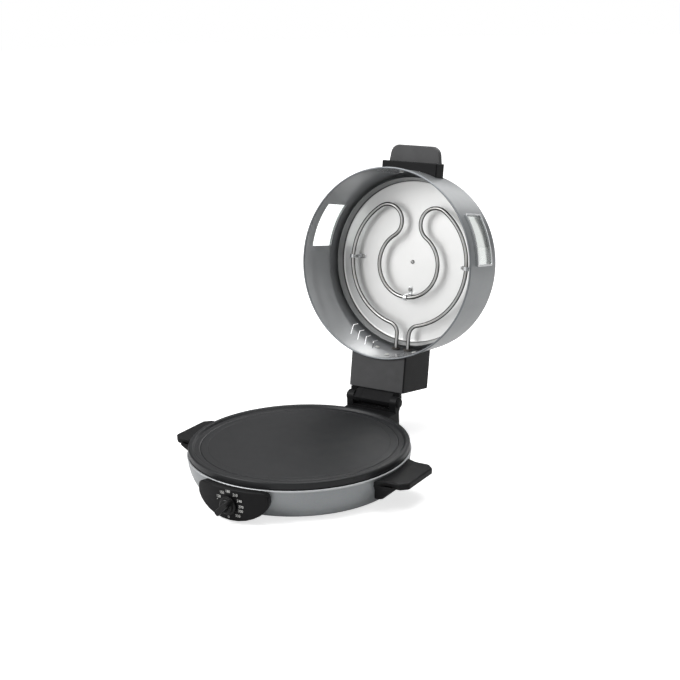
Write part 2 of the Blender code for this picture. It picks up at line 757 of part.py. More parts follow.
def make_element_clamps(parent, mat):
    top = BOSS_BOTTOM - SEAT_GAP
    near = BOSS_CIRCLE - CLAMP_WIDTH
    half = CLAMP_WIDTH / 2
    corner = half / 2
    outline = rectangle(near, near + CLAMP_LENGTH, -half, half, corner, 2)
    for number, (angle, x, y) in enumerate(ring_of(CLAMP_COUNT, BOSS_CIRCLE, -math.pi / 2), 1):
        bar = transformed(slab(outline, top - CLAMP_THICKNESS, top, lay_plan), Matrix.Rotation(angle, 4, "Z"))
        clamp = add_object(f"element_clamp_{number}", bar, parent, mat)
        head_low = top - CLAMP_THICKNESS - CLAMP_HEAD_HEIGHT
        head = rod(CLAMP_HEAD, head_low, top - CLAMP_THICKNESS / 2, SCREW_SIDES)
        head = transformed(head, Matrix.Translation((x, y, 0)))
        join(clamp, f"clamp_bolt_{number}", head)


def make_terminal_block(parent, mat):
    """A ceramic block that holds the element's ends, screwed up under the plate."""
    front = LOWER_LEG_END - BLOCK_SOCKET
    top = PLATE_UNDER - SEAT_GAP
    half = BLOCK_WIDTH / 2
    back = front + BLOCK_LENGTH
    outline = rectangle(-half, half, front, back, 0)
    block = slab(outline, top - BLOCK_HEIGHT, top, lay_plan, BLOCK_EDGE)
    block = add_object("terminal_block", block, parent, mat)
    sockets = []
    for side in (-1, 1):
        end = LOWER_LEG_END + SLIP_GAP
        x = side * LEG_SPREAD
        sockets.append(rod_along_y(TUBE_RADIUS + SLIP_GAP, front - OVERRUN, end, x, LOWER_TUBE_HEIGHT))
    return cut(block, "terminal_sockets", gathered(sockets))


def make_lower_reflector(parent, mat):
    lip = PAN_RADIUS + PAN_RISE / 2
    under = [(0, 0), (PAN_FLAT, 0), (PAN_RADIUS, PAN_RISE), (lip, PAN_RISE)]
    over = [(radius, height + PAN_SHEET) for radius, height in reversed(under)]
    return add_object("lower_reflector", lathe(under + over, HIDDEN_SIDES), parent, mat, (0, 0, PAN_HEIGHT))


def panel_heights(along, inset_by):
    """The top and bottom of the panel's outline at a place along its curve."""
    half = PANEL_HALF - inset_by
    share = abs(along) / half
    across = half - abs(along)
    corner = PANEL_TOP - PANEL_SHOULDER
    lift = max(0.0, 1 - across / PANEL_CORNER)
    top = PANEL_TOP - inset_by - corner * (1 - math.sqrt(max(0.0, 1 - lift**2)))
    belly = PANEL_WAIST - PANEL_BOTTOM - inset_by
    bottom = PANEL_WAIST - belly * max(0.0, 1 - share**2) ** PANEL_BELLY_POWER
    return top, bottom


def panel_loop(inset_by, radius_at):
    """The panel's outline wrapped round the bowl: along the top to the right, back along the bottom."""
    half = PANEL_HALF - inset_by
    columns = [-half * math.cos(math.pi * i / PANEL_COLUMNS) for i in range(PANEL_COLUMNS + 1)]
    tops = []
    bottoms = []
    for along in columns:
        angle = along / FACE_RADIUS
        for height, row in zip(panel_heights(along, inset_by), (tops, bottoms)):
            radius = radius_at(height)
            row.append((radius * math.sin(angle), -radius * math.cos(angle), height))
    return tops, bottoms


def make_control_panel(parent, mat):
    """A moulded fascia with soft edges, hollow towards the bowl that it is screwed to."""
    bm = bmesh.new()

    def add_loop(inset_by, radius_at):
        tops, bottoms = panel_loop(inset_by, radius_at)
        return [bm.verts.new(p) for p in tops], [bm.verts.new(p) for p in bottoms]

    def on_bowl(height):
        under_lip = height < SWEEP_CENTRE.y - SLIP_GAP
        return (bowl_radius(height) if under_lip else LIP_RADIUS) + SLIP_GAP

    loops = [
        add_loop(PANEL_WALL, lambda height: FACE_RADIUS - PANEL_WALL),
        add_loop(PANEL_WALL, on_bowl),
        add_loop(0, on_bowl),
        add_loop(0, lambda height: FACE_RADIUS - PANEL_EDGE),
        add_loop(PANEL_EDGE, lambda height: FACE_RADIUS),
    ]
    rings = [tops + bottoms[::-1] for tops, bottoms in loops]
    for low, high in zip(rings, rings[1:]):
        for i in range(len(low)):
            k = (i + 1) % len(low)
            bm.faces.new((low[i], low[k], high[k], high[i]))
    for tops, bottoms in (loops[0], loops[-1]):
        for i in range(PANEL_COLUMNS):
            bm.faces.new((tops[i], tops[i + 1], bottoms[i + 1], bottoms[i]))
    panel = add_object("control_panel", bm, parent, mat)
    hole = rod_along_y(SHAFT_RADIUS + SLIP_GAP, -FACE_RADIUS - OVERRUN, -FLANGE_RADIUS, 0, KNOB_HEIGHT)
    return cut(panel, "control_panel_hole", hole)


def make_thermostat(parent, knob_axis, mats):
    half_width = THERMOSTAT_WIDTH / 2
    low = KNOB_HEIGHT - THERMOSTAT_HEIGHT / 2
    inner = bowl_radius(low, BASE_SHEET)
    front = math.sqrt((inner - FACET_SAG) ** 2 - half_width**2) - SEAT_GAP
    outline = rectangle(-half_width, half_width, low, low + THERMOSTAT_HEIGHT, THERMOSTAT_CORNER)
    body = slab(outline, -front, -front + THERMOSTAT_DEPTH, lay_front)
    body = add_object("thermostat_body", body, parent, mats["zinc"])
    bush_front = FACE_RADIUS - PANEL_WALL - SLIP_GAP
    bush = rod_along_y(BUSH_RADIUS, -bush_front, -front + BUSH_BORE / 2, 0, KNOB_HEIGHT)
    join(body, "thermostat_bush", bush)
    socket = bush_front - BUSH_BORE
    bore = rod_along_y(SHAFT_RADIUS + SLIP_GAP, -bush_front - OVERRUN, -socket, 0, KNOB_HEIGHT)
    cut(body, "thermostat_bore", bore)
    shaft_back = socket + SEAT_GAP - KNOB_BACK
    shaft = rod_along_y(SHAFT_RADIUS, -KNOB_BORE + SEAT_GAP, -shaft_back, 0, 0)
    return add_object("thermostat_shaft", shaft, knob_axis, mats["steel"])


def make_knob(knob_axis, mat):
    """A skirted knob with a grip bar across it, turned to its off mark, its back at the parent's origin."""
    profile = [
        (0, -KNOB_DISH),
        (KNOB_BODY - KNOB_ROUND, -KNOB_DISH),
        (KNOB_BODY, -KNOB_DISH + KNOB_ROUND),
        (KNOB_BODY, -KNOB_SKIRT),
        (KNOB_RADIUS - KNOB_ROUND, -KNOB_SKIRT),
        (KNOB_RADIUS, -KNOB_SKIRT + KNOB_ROUND),
        (KNOB_RADIUS, 0),
        (0, 0),
    ]
    body = lathe(profile, KNOB_SIDES)
    knob = add_object("control_knob", transformed(body, along_y(0, 0)), knob_axis, mat)
    half_width = GRIP_WIDTH / 2
    half_length = GRIP_LENGTH / 2
    outline = rectangle(-half_length, half_length, -half_width, half_width, half_width / 2)
    grip = slab(outline, -KNOB_DEPTH, -KNOB_SKIRT / 2, lay_front, KNOB_ROUND)
    grip = transformed(grip, Matrix.Rotation(-KNOB_OFF_ANGLE, 4, "Y"))
    join(knob, "control_knob_grip", grip)
    bore = rod_along_y(SHAFT_RADIUS + SEAT_GAP, -KNOB_BORE, OVERRUN, 0, 0)
    return cut(knob, "control_knob_bore", bore)


def make_side_handle(name, side, parent, mat):
    """A shelf handle with a tapered gusset below it, hollow towards the bowl."""
    wall = bowl_radius(HANDLE_TOP) - HANDLE_NECK / 2
    neck = wall + HANDLE_NECK
    tip = HANDLE_REACH - HANDLE_CORNER
    half = [
        (FLANGE_RADIUS, HANDLE_ROOT_HALF, 0),
        (wall, HANDLE_ROOT_HALF, 0),
        (neck, HANDLE_HALF, HANDLE_NECK),
        (tip, HANDLE_HALF, HANDLE_CORNER / 2),
        (HANDLE_REACH, HANDLE_HALF - HANDLE_CORNER, HANDLE_CORNER / 2),
    ]
    corners = [(x, -y, fillet) for x, y, fillet in half] + half[::-1]
    shelf = rounded(corners, 2)
    under = HANDLE_TOP - HANDLE_THICKNESS
    flip = Matrix.Diagonal((side, 1, 1, 1))
    shelf = transformed(slab(shelf, under, HANDLE_TOP, lay_plan, HANDLE_EDGE), flip)
    handle = add_object(name, shelf, parent, mat)

    def gusset_section(root, height, draw_in, lift):
        share = (height - GUSSET_BOTTOM) / (under - GUSSET_BOTTOM)
        reach = GUSSET_BOTTOM_REACH + (GUSSET_TOP_REACH - GUSSET_BOTTOM_REACH) * share - draw_in
        flare = HANDLE_ROOT_HALF - HANDLE_EDGE - GUSSET_BOTTOM_HALF
        half_width = GUSSET_BOTTOM_HALF + flare * share**GUSSET_FLARE_POWER - draw_in
        fillet = HANDLE_CORNER / 2 - draw_in / 2
        front = [(root, -half_width, 0), (reach, -half_width, fillet)]
        outline = rounded(front + [(x, -y, size) for x, y, size in reversed(front)])
        return [(p.x, p.y, height + lift) for p in outline]

    heights = [GUSSET_BOTTOM + (under - GUSSET_BOTTOM) * share for share in GUSSET_LEVEL_SHARES]
    root = FLANGE_RADIUS - HANDLE_WALL
    sections = [gusset_section(root, GUSSET_BOTTOM, GUSSET_ROUND, 0)]
    sections += [gusset_section(root, height, 0, 0) for height in heights[1:]]
    sections.append(gusset_section(root, under, 0, HANDLE_EDGE * 2))
    gusset = transformed(loft(sections), flip)
    join(handle, f"{name}_gusset", gusset)
    hollow = [gusset_section(root - OVERRUN, height, HANDLE_WALL, HANDLE_WALL) for height in heights]
    hollow = transformed(loft(hollow), flip)
    cut(handle, f"{name}_hollow", hollow)
    return cut(handle, f"{name}_seat", bowl_solid(SLIP_GAP))


def make_hinge_post(parent, mat):
    """The rear bracket: a hollow box on the bowl with two ears, each with a stop for the open lid."""
    rear = HINGE_Y + POST_REAR
    front = FLANGE_RADIUS
    outline = rounded(
        [(front, POST_BOTTOM, 0), (rear, POST_BOTTOM, POST_CORNER), (rear, POST_TOP, 0), (front, POST_TOP, 0)]
    )
    post = slab(outline, -POST_HALF, POST_HALF, lay_side, POST_WALL / 2)
    post = add_object("hinge_post", post, parent, mat)
    room_x = POST_HALF - POST_WALL
    room_low = POST_BOTTOM + POST_WALL
    room_rear = rear - POST_WALL
    room = rectangle(front - OVERRUN, room_rear, room_low, POST_TOP - POST_WALL, 0)
    cut(post, "hinge_post_room", slab(room, -room_x, room_x, lay_side))
    cut(post, "hinge_post_seat", bowl_solid(SLIP_GAP))
    post_ears = []
    for side in (-1, 1):
        near, far = sorted((side * EAR_INNER, side * POST_HALF))
        post_ears.append(slab(ear_outline(), near, far, lay_side))
    join(post, "hinge_post_ears", gathered(post_ears))
    holes = [rod_along_x(PIN_RADIUS + SLIP_GAP, POST_HALF + OVERRUN, HINGE_Y, HINGE_Z)]
    gland_front = room_rear - OVERRUN / 2
    holes.append(rod_along_y(GLAND_STEM + SEAT_GAP, gland_front, rear + OVERRUN, 0, GLAND_HEIGHT))
    foot = rod(FOOT_STEM + SEAT_GAP, -OVERRUN, room_low + SEAT_GAP, SCREW_SIDES)
    holes.append(transformed(foot, Matrix.Translation((0, post_foot_y(), 0))))
    return cut(post, "hinge_post_holes", gathered(holes))


def post_foot_y():
    """The rear foot stands close behind the bracket's corner."""
    return HINGE_Y + POST_REAR - POST_CORNER - FOOT_RADIUS


def ear_outline():
    """One ear seen from the side: a round barrel seat with the lid's stop rising behind it."""
    hinge = Vector((HINGE_Y, HINGE_Z))
    stop_angle = math.acos(STOP_FRONT / BARREL_RADIUS)
    front = arc(hinge, BARREL_RADIUS, math.pi, stop_angle, ARC_STEPS)
    rest = HOUSING_CLEARANCE - SEAT_GAP
    stop = [
        hinge + Vector((across, (rest - across * math.sin(LEAN)) / math.cos(LEAN)))
        for across in (STOP_FRONT, BARREL_RADIUS)
    ]
    back = arc(hinge, BARREL_RADIUS, 0, -math.pi / 3, 3)
    root = POST_TOP - POST_WALL / 2
    feet = [Vector((HINGE_Y + POST_REAR - POST_WALL / 2, root)), Vector((HINGE_Y - BARREL_RADIUS, root))]
    return front + stop + back + feet


def make_hinge_pin(parent, mat):
    half = POST_HALF - SEAT_GAP
    return add_object("hinge_pin", rod_along_x(PIN_RADIUS, half, HINGE_Y, HINGE_Z), parent, mat)


def make_hinge_caps(parent, mat):
    back = POST_HALF + SEAT_GAP
    profile = [
        (0, back),
        (CAP_RADIUS, back),
        (CAP_RADIUS, back + CAP_RIM),
        (CAP_CROWN, back + CAP_DEPTH - CAP_RIM / 2),
        (0, back + CAP_DEPTH),
    ]
    for name, side in (("hinge_cap_left", -1), ("hinge_cap_right", 1)):
        cap = transformed(lathe(profile, SMALL_SIDES), along_x(HINGE_Y, HINGE_Z, side))
        add_object(name, cap, parent, mat)


def make_cord_gland(parent, mat):
    rear = HINGE_Y + POST_REAR + SEAT_GAP
    profile = [
        (GLAND_BORE, rear + GLAND_LIP),
        (GLAND_FLANGE - CAP_RIM, rear + GLAND_LIP),
        (GLAND_FLANGE, rear + GLAND_LIP - CAP_RIM),
        (GLAND_FLANGE, rear),
        (GLAND_STEM, rear),
        (GLAND_STEM, rear - GLAND_DEPTH),
        (GLAND_BORE, rear - GLAND_DEPTH),
    ]
    gland = transformed(lathe(profile, SMALL_SIDES, closed=True), along_y(0, GLAND_HEIGHT))
    return add_object("cord_gland", gland, parent, mat)


def window_map(side):
    """Places on the drum's wall round a window's middle: along the curve, then depth, then height over it."""
    centre = WINDOW_CENTRE if side > 0 else math.pi - WINDOW_CENTRE

    def place(along, depth, lift):
        angle = centre + along / drum_radius((WINDOW_NEAR + WINDOW_FAR) / 2)
        return on_drum(angle, depth, lift)

    return place


def window_loop(grow):
    """A rectangle round the window, grown by a border, with its curved sides in short steps."""
    half = WINDOW_WIDTH / 2 + grow
    near = WINDOW_NEAR - grow
    far = WINDOW_FAR + grow
    steps = [-half + 2 * half * i / WINDOW_STEPS for i in range(WINDOW_STEPS + 1)]
    return [(along, near) for along in steps] + [(along, far) for along in reversed(steps)]


def window_plate(place, grow, low, high):
    """A solid that follows the drum's curve between two heights over its wall."""
    bm = bmesh.new()
    loop = window_loop(grow)
    rings = [[bm.verts.new(place(along, depth, lift)) for along, depth in loop] for lift in (low, high)]
    count = len(loop)
    for i in range(count):
        k = (i + 1) % count
        bm.faces.new((rings[0][i], rings[0][k], rings[1][k], rings[1][i]))
    for ring in rings:
        for i in range(WINDOW_STEPS):
            bm.faces.new((ring[i], ring[i + 1], ring[count - 2 - i], ring[count - 1 - i]))
    return bm


def make_windows(parent, mats, location):
    """Each window is a curved pane on the drum's wall, held by a rebated frame."""
    seat = SEAT_GAP + SEAT_GAP / 2
    pane_top = seat + GLASS_THICKNESS
    lip_under = pane_top + SEAT_GAP
    pocket = GLASS_LAP + SEAT_GAP
    section = (
        (FRAME_BORDER, seat),
        (FRAME_BORDER, lip_under + FRAME_LIP / 2),
        (FRAME_BORDER - FRAME_LIP / 2, lip_under + FRAME_LIP),
        (0, lip_under + FRAME_LIP),
        (0, lip_under),
        (pocket, lip_under),
        (pocket, seat),
    )
    for name, side in (("left", -1), ("right", 1)):
        place = window_map(side)
        rings = [[place(along, depth, lift) for along, depth in window_loop(grow)] for grow, lift in section]
        add_object(f"window_frame_{name}", loft(rings, closed=True), parent, mats["trim"], location)
        pane = window_plate(place, GLASS_LAP, seat, pane_top)
        add_object(f"window_glass_{name}", pane, parent, mats["glass"], location)


def bent_slot(side):
    """A slot's outline about its bend: a long slanted leg towards the rim, a short arm away from it."""
    tip = Vector((SLOT_LENGTH, side * SLOT_SLANT))
    end = Vector((-SLOT_ARM, 0))
    across = Vector((-tip.y, tip.x)).normalized() * SLOT_WIDTH / 2
    square = Vector((0, SLOT_WIDTH / 2))
    bend = (across + square) / (1 + across.dot(square) / square.dot(square))
    round_off = SLOT_WIDTH * SLOT_ROUND_SHARE
    corners = (
        (tip + across, round_off),
        (bend, 0),
        (end + square, round_off),
        (end - square, round_off),
        (-bend, 0),
        (tip - across, round_off),
    )
    return rounded([(corner.x, corner.y, fillet) for corner, fillet in corners], 1)


def steam_slots():
    """Bent slots through the drum's wall on both sides of the hinge housing."""
    slots = []
    for side in (-1, 1):
        for i in range(SLOT_COUNT):
            along = SLOT_NEAREST + i * SLOT_PITCH
            angle = side * along / LID_BACK_RADIUS - math.pi / 2
            slot = slab(bent_slot(side), -OVERRUN / 2, OVERRUN / 2, lay_plan)
            slots.append(transformed(slot, out_of_drum(angle, SLOT_BEND)))
    return slots


def make_lid_shell(parent, mat, location):
    bead_centre = (LID_RIM_RADIUS - LID_BEAD_RADIUS, LID_BEAD_RADIUS)
    bead = arc(bead_centre, LID_BEAD_RADIUS, BEAD_OPENING, -math.pi - BEAD_OPENING, 4)
    profile = drum_wall(0) + bead + drum_wall(LID_SHEET)[::-1]
    shell = add_object("lid_shell", lathe(profile), parent, mat, location)
    cuts = steam_slots()
    for side in (-1, 1):
        cuts.append(window_plate(window_map(side), 0, -OVERRUN, OVERRUN))
        leg = along_y(side * LEG_SPREAD, ELEMENT_DEPTH)
        cuts.append(screw_hole(BUSHING_RADIUS, leg, LID_BACK_RADIUS - OVERRUN, LID_RIM_RADIUS + OVERRUN))
        cuts.append(screw_hole(LID_SCREW_SHANK, grip_screw_frame(side)))
    for frame in housing_screw_frames():
        cuts.append(screw_hole(LID_SCREW_SHANK, frame))
    return cut(shell, "lid_shell_cuts", gathered(cuts))


def make_reflector(parent, mat, location):
    """A bright pan behind the element: a flat, a steep flange and a narrow brim under the tube."""
    lip_depth = ELEMENT_DEPTH + TUBE_RADIUS + REFLECTOR_CLEARANCE
    lip = REFLECTOR_FLAT + REFLECTOR_SLANT
    brim = lip + REFLECTOR_BRIM
    sheet = REFLECTOR_SHEET
    profile = rounded(
        [
            (0, REFLECTOR_DEPTH, 0),
            (REFLECTOR_FLAT, REFLECTOR_DEPTH, REFLECTOR_BEND),
            (lip, lip_depth, sheet),
            (brim, lip_depth, 0),
            (brim, lip_depth + sheet, 0),
            (lip + sheet, lip_depth + sheet, 0),
            (REFLECTOR_FLAT + sheet, REFLECTOR_DEPTH + sheet, REFLECTOR_BEND + sheet),
            (0, REFLECTOR_DEPTH + sheet, 0),
        ],
        1,
    )
    pan = add_object("reflector", lathe(profile), parent, mat, location)
    holes = []
    for x, away, _ in screw_places():
        holes.append(screw_hole(SCREW_SHANK, Matrix.Translation((x, -away, REFLECTOR_DEPTH))))
    return cut(pan, "reflector_holes", gathered(holes))


def omega_centres():
    """The middle of one horn, and how far the inner loop's middle lies below the lid's."""
    reach = OMEGA_OUTER - HORN_RADIUS
    horn = Vector((reach * math.cos(HORN_ANGLE), reach * math.sin(HORN_ANGLE)))
    drop = math.sqrt((OMEGA_INNER + HORN_RADIUS) ** 2 - horn.x**2) - horn.y
    return horn, drop


def make_upper_element(parent, mat, location):
    """A horned omega whose arcs meet in line: leg, corner, outer loop, horn and inner loop, then mirrored."""
    horn, drop = omega_centres()
    corner_x = LEG_SPREAD + OMEGA_CORNER
    corner_y = -math.sqrt((OMEGA_OUTER + OMEGA_CORNER) ** 2 - corner_x**2)
    meeting = math.atan2(corner_y, corner_x)
    inner_start = math.atan2(horn.y + drop, horn.x)
    leg = [Vector((LEG_SPREAD, -OMEGA_LEG_END))]
    corner = swept((corner_x, corner_y), OMEGA_CORNER, math.pi, math.pi + meeting, CORNER_STEP)
    outer = swept((0, 0), OMEGA_OUTER, meeting, 0, TUBE_STEP)
    outer += swept((0, 0), OMEGA_OUTER, 0, HORN_ANGLE, TUBE_STEP)[1:]
    top = swept(horn, HORN_RADIUS, HORN_ANGLE, math.pi + inner_start, CORNER_STEP)
    inner = swept((0, -drop), OMEGA_INNER, inner_start, -math.pi / 2, TUBE_STEP)
    path = mirrored_path(leg + corner + outer[1:] + top[1:] + inner[1:])
    points = [lay_drum(p.x, p.y, 0) for p in path]
    x, y, z = location
    return make_tube("upper_element", points, parent, mat, (x, y, z + ELEMENT_DEPTH))


def screw_places():
    """The reflector's screws: the middle one, and one for each clip with the way that it faces."""
    _, drop = omega_centres()
    side = OMEGA_OUTER - CLIP_REACH
    return (
        (0, 0, None),
        (-side, 0, math.pi),
        (side, 0, 0),
        (0, -(drop + OMEGA_INNER - CLIP_REACH), math.pi / 2),
    )


def clip_outline():
    """A bent strap seen from the side: its foot lies on the reflector and its end hooks over the tube."""
    hook = TUBE_RADIUS + CLIP_CLEARANCE
    foot = REFLECTOR_DEPTH - SEAT_GAP
    near = CLIP_REACH - hook
    outside = arc((CLIP_REACH, ELEMENT_DEPTH), hook + CLIP_SHEET, math.pi, math.tau, ARC_STEPS)
    inside = arc((CLIP_REACH, ELEMENT_DEPTH), hook, math.tau, math.pi, ARC_STEPS)
    heel = [
        Vector((near, foot)),
        Vector((-CLIP_HEEL, foot)),
        Vector((-CLIP_HEEL, foot - CLIP_SHEET)),
        Vector((near - CLIP_SHEET, foot - CLIP_SHEET)),
    ]
    return outside + inside + heel


def make_reflector_screws(parent, mats, location):
    back = LID_DEPTH - LID_SHEET - SEAT_GAP
    behind = REFLECTOR_DEPTH + REFLECTOR_SHEET + SEAT_GAP
    names = ("reflector_screw", "clip_screw_left", "clip_screw_right", "clip_screw_front")
    for name, (x, away, facing) in zip(names, screw_places()):
        seat = REFLECTOR_DEPTH - SEAT_GAP
        if facing is not None:
            seat -= CLIP_SHEET + SEAT_GAP
        profile = [
            (0, seat - SCREW_HEAD_HEIGHT),
            (SCREW_HEAD - SCREW_SHANK / 2, seat - SCREW_HEAD_HEIGHT),
            (SCREW_HEAD, seat - SCREW_HEAD_HEIGHT / 2),
            (SCREW_HEAD, seat),
            (SCREW_SHANK, seat),
            (SCREW_SHANK, behind),
            (SPACER_RADIUS, behind),
            (SPACER_RADIUS, back),
            (0, back),
        ]
        screw = transformed(lathe(profile, SCREW_SIDES), Matrix.Translation((x, -away, 0)))
        add_object(name, screw, parent, mats["steel"], location)
        if facing is None:
            continue
        half = CLIP_WIDTH / 2
        strap = slab(clip_outline(), -half, half, lay_front)
        strap = transformed(strap, Matrix.Translation((x, -away, 0)) @ Matrix.Rotation(facing, 4, "Z"))
        clip_name = name.replace("clip_screw", "element_clip")
        clip = add_object(clip_name, strap, parent, mats["clip"], location)
        hole = screw_hole(SCREW_SHANK, Matrix.Translation((x, -away, REFLECTOR_DEPTH)))
        cut(clip, f"{name}_hole", hole)


def make_leg_bushings(parent, mat, location):
    """Ceramic bushes that carry the element's legs through the drum's wall."""
    wall = drum_radius(ELEMENT_DEPTH + BUSHING_FLANGE, LID_SHEET) - FACET_SAG
    inner = math.sqrt(wall**2 - (LEG_SPREAD + BUSHING_FLANGE) ** 2) - SEAT_GAP
    profile = [
        (TUBE_RADIUS + SLIP_GAP, inner - BUSHING_LIP),
        (BUSHING_FLANGE, inner - BUSHING_LIP),
        (BUSHING_FLANGE, inner),
        (BUSHING_RADIUS, inner),
        (BUSHING_RADIUS, inner + BUSHING_LENGTH),
        (TUBE_RADIUS + SLIP_GAP, inner + BUSHING_LENGTH),
    ]
    for name, side in (("leg_bushing_left", -1), ("leg_bushing_right", 1)):
        bush = lathe(profile, SMALL_SIDES, closed=True)
        bush = transformed(bush, along_y(side * LEG_SPREAD, ELEMENT_DEPTH))
        add_object(name, bush, parent, mat, location)


def grip_screw_frame(side):
    """A place on the drum's wall under the lid handle, facing outward."""
    depth = (GRIP_BLOCK_NEAR + GRIP_BLOCK_FAR) / 2
    angle = math.pi / 2 - side * GRIP_SCREW_X / drum_radius(depth)
    return out_of_drum(angle, depth)


def housing_screw_frames():
    """Places on the drum's wall inside the hinge housing, facing outward."""
    back = -math.pi / 2
    return (
        out_of_drum(back - HOUSING_SCREW_ANGLE, HOUSING_SCREW_FAR),
        out_of_drum(back + HOUSING_SCREW_ANGLE, HOUSING_SCREW_FAR),
        out_of_drum(back, HOUSING_SCREW_NEAR),
    )


def boss_reach(frame):
    """How far a screw's boss runs to end inside the housing's end wall or side wall, whichever is nearer."""
    outward = frame.to_3x3() @ Vector((0, 0, 1))
    to_end = (HINGE_Y - HOUSING_CLEARANCE - HOUSING_WALL / 2 - frame.translation.y) / outward.y
    side = HOUSING_HALF - HOUSING_WALL / 2 - HOUSING_BOSS * outward.y - abs(frame.translation.x)
    return min(to_end, side / max(abs(outward.x), WELD))


def lid_screw():
    """A pan-headed screw on the Z axis, its head inside the drum and its shank through the wall."""
    seat = -LID_SHEET - SEAT_GAP - FACET_SAG
    low = seat - SCREW_HEAD_HEIGHT
    return lathe(
        [
            (0, low),
            (LID_SCREW_HEAD - LID_SCREW_SHANK / 2, low),
            (LID_SCREW_HEAD, seat - SCREW_HEAD_HEIGHT / 2),
            (LID_SCREW_HEAD, seat),
            (LID_SCREW_SHANK, seat),
            (LID_SCREW_SHANK, seat + LID_SCREW_LENGTH),
            (0, seat + LID_SCREW_LENGTH),
        ],
        SCREW_SIDES,
    )


def make_lid_handle(parent, mats, location):
    """A block on the drum's wall with an upright grip plate."""
    root = LID_BACK_RADIUS - OVERRUN
    half = GRIP_BLOCK_HALF
    top = GRIP_BLOCK_TOP
    block = rounded([(-half, root, 0), (half, root, 0), (half, top, GRIP_EDGE), (-half, top, GRIP_EDGE)])
    handle = slab(block, GRIP_BLOCK_NEAR, GRIP_BLOCK_FAR, lay_drum, GRIP_EDGE)
    handle = add_object("lid_handle", handle, parent, mats["plastic"], location)
    middle = (LID_BACK_RADIUS + GRIP_BLOCK_TOP) / 2
    grip = rounded(
        [
            (-GRIP_ROOT_HALF, middle, 0),
            (GRIP_ROOT_HALF, middle, 0),
            (GRIP_TIP_HALF, GRIP_TIP, GRIP_CORNER),
            (-GRIP_TIP_HALF, GRIP_TIP, GRIP_CORNER),
        ],
        ARC_STEPS,
    )
    grip = slab(grip, GRIP_NEAR, GRIP_FAR, lay_drum, GRIP_EDGE)
    join(handle, "lid_handle_grip", grip)
    cut(handle, "lid_handle_seat", drum_solid(SLIP_GAP))
    frames = [grip_screw_frame(side) for side in (-1, 1)]
    pockets = [screw_hole(LID_SCREW_SHANK, frame, -OVERRUN, LID_SCREW_LENGTH) for frame in frames]
    cut(handle, "lid_handle_pockets", gathered(pockets))
    for name, frame in zip(("handle_screw_left", "handle_screw_right"), frames):
        add_object(name, transformed(lid_screw(), frame), parent, mats["steel"], location)


def knuckle_outline():
    """A lid knuckle in drum coordinates: a barrel round the pin that widens to the housing's end face."""
    pin = Vector((HINGE_Y, -RIM_OFFSET))
    end = HINGE_Y - HOUSING_CLEARANCE
    barrel = arc(pin, BARREL_RADIUS, -math.pi / 2, math.pi / 2, SCREW_SIDES)
    inside = end - HOUSING_WALL / 2
    low = HOUSING_NEAR + 2 * HOUSING_EDGE
    return barrel + [
        Vector((end, low + KNUCKLE_FOOT)),
        Vector((inside, low + KNUCKLE_FOOT)),
        Vector((inside, low)),
        Vector((end, low)),
    ]


def make_hinge_housing(parent, mats, location):
    """The box on the drum's hinge side: it covers the element's ends and carries the lid's knuckles."""
    end = HINGE_Y - HOUSING_CLEARANCE
    root = LID_BACK_RADIUS - OVERRUN
    outline = rectangle(-HOUSING_HALF, HOUSING_HALF, HOUSING_NEAR, HOUSING_FAR, HOUSING_CORNER)
    housing = slab(outline, root, end, lay_front, HOUSING_EDGE)
    housing = add_object("hinge_housing", housing, parent, mats["plastic"], location)
    room = slab(inset(outline, HOUSING_WALL), root - OVERRUN, end - HOUSING_WALL, lay_front)
    cut(housing, "hinge_housing_room", room)
    bosses = []
    for frame in housing_screw_frames():
        bosses.append(transformed(rod(HOUSING_BOSS, -HOUSING_BOSS, boss_reach(frame), SCREW_SIDES), frame))
    join(housing, "hinge_housing_bosses", gathered(bosses))
    cut(housing, "hinge_housing_seat", drum_solid(SLIP_GAP))
    knuckles = []
    for side in (-1, 1):
        near, far = sorted((side * (KNUCKLE_OUTER - KNUCKLE_WIDTH), side * KNUCKLE_OUTER))
        knuckles.append(slab(knuckle_outline(), near, far, lay_side))
    join(housing, "hinge_housing_knuckles", gathered(knuckles))
    frames = housing_screw_frames()
    holes = [screw_hole(LID_SCREW_SHANK, frame, -OVERRUN, LID_SCREW_LENGTH) for frame in frames]
    holes.append(rod_along_x(PIN_RADIUS + SLIP_GAP, POST_HALF, HINGE_Y, -RIM_OFFSET))
    cut(housing, "hinge_housing_holes", gathered(holes))
    names = ("housing_screw_left", "housing_screw_right", "housing_screw_front")
    for name, frame in zip(names, housing_screw_frames()):
        add_object(name, transformed(lid_screw(), frame), parent, mats["steel"], location)


def make_base(stand, mats):
    make_base_shell(stand, mats["paint"])
    make_bottom_cover(stand, mats["galvanised"])
    make_feet(stand, mats["rubber"])
    floor = POST_BOTTOM + POST_WALL
    make_foot("foot_post", 0, post_foot_y(), POST_BOTTOM - SEAT_GAP, floor + SEAT_GAP, stand, mats["rubber"])
    make_baking_plate(stand, mats["nonstick"])
    make_lower_element(stand, mats["tube"])
    make_element_clamps(stand, mats["clip"])
    make_terminal_block(stand, mats["ceramic"])
    make_lower_reflector(stand, mats["reflector"])
    make_control_panel(stand, mats["plastic"])
    make_side_handle("side_handle_right", 1, stand, mats["plastic"])
    make_side_handle("side_handle_left", -1, stand, mats["plastic"])
    make_hinge_post(stand, mats["plastic"])
    make_hinge_pin(stand, mats["steel"])
    make_hinge_caps(stand, mats["plastic"])
    make_cord_gland(stand, mats["rubber"])


def make_controls(stand, mats):
    knob_axis = add_empty("knob_axis", (0, -KNOB_BACK, KNOB_HEIGHT), stand)
    make_thermostat(stand, knob_axis, mats)
    make_knob(knob_axis, mats["knob"])


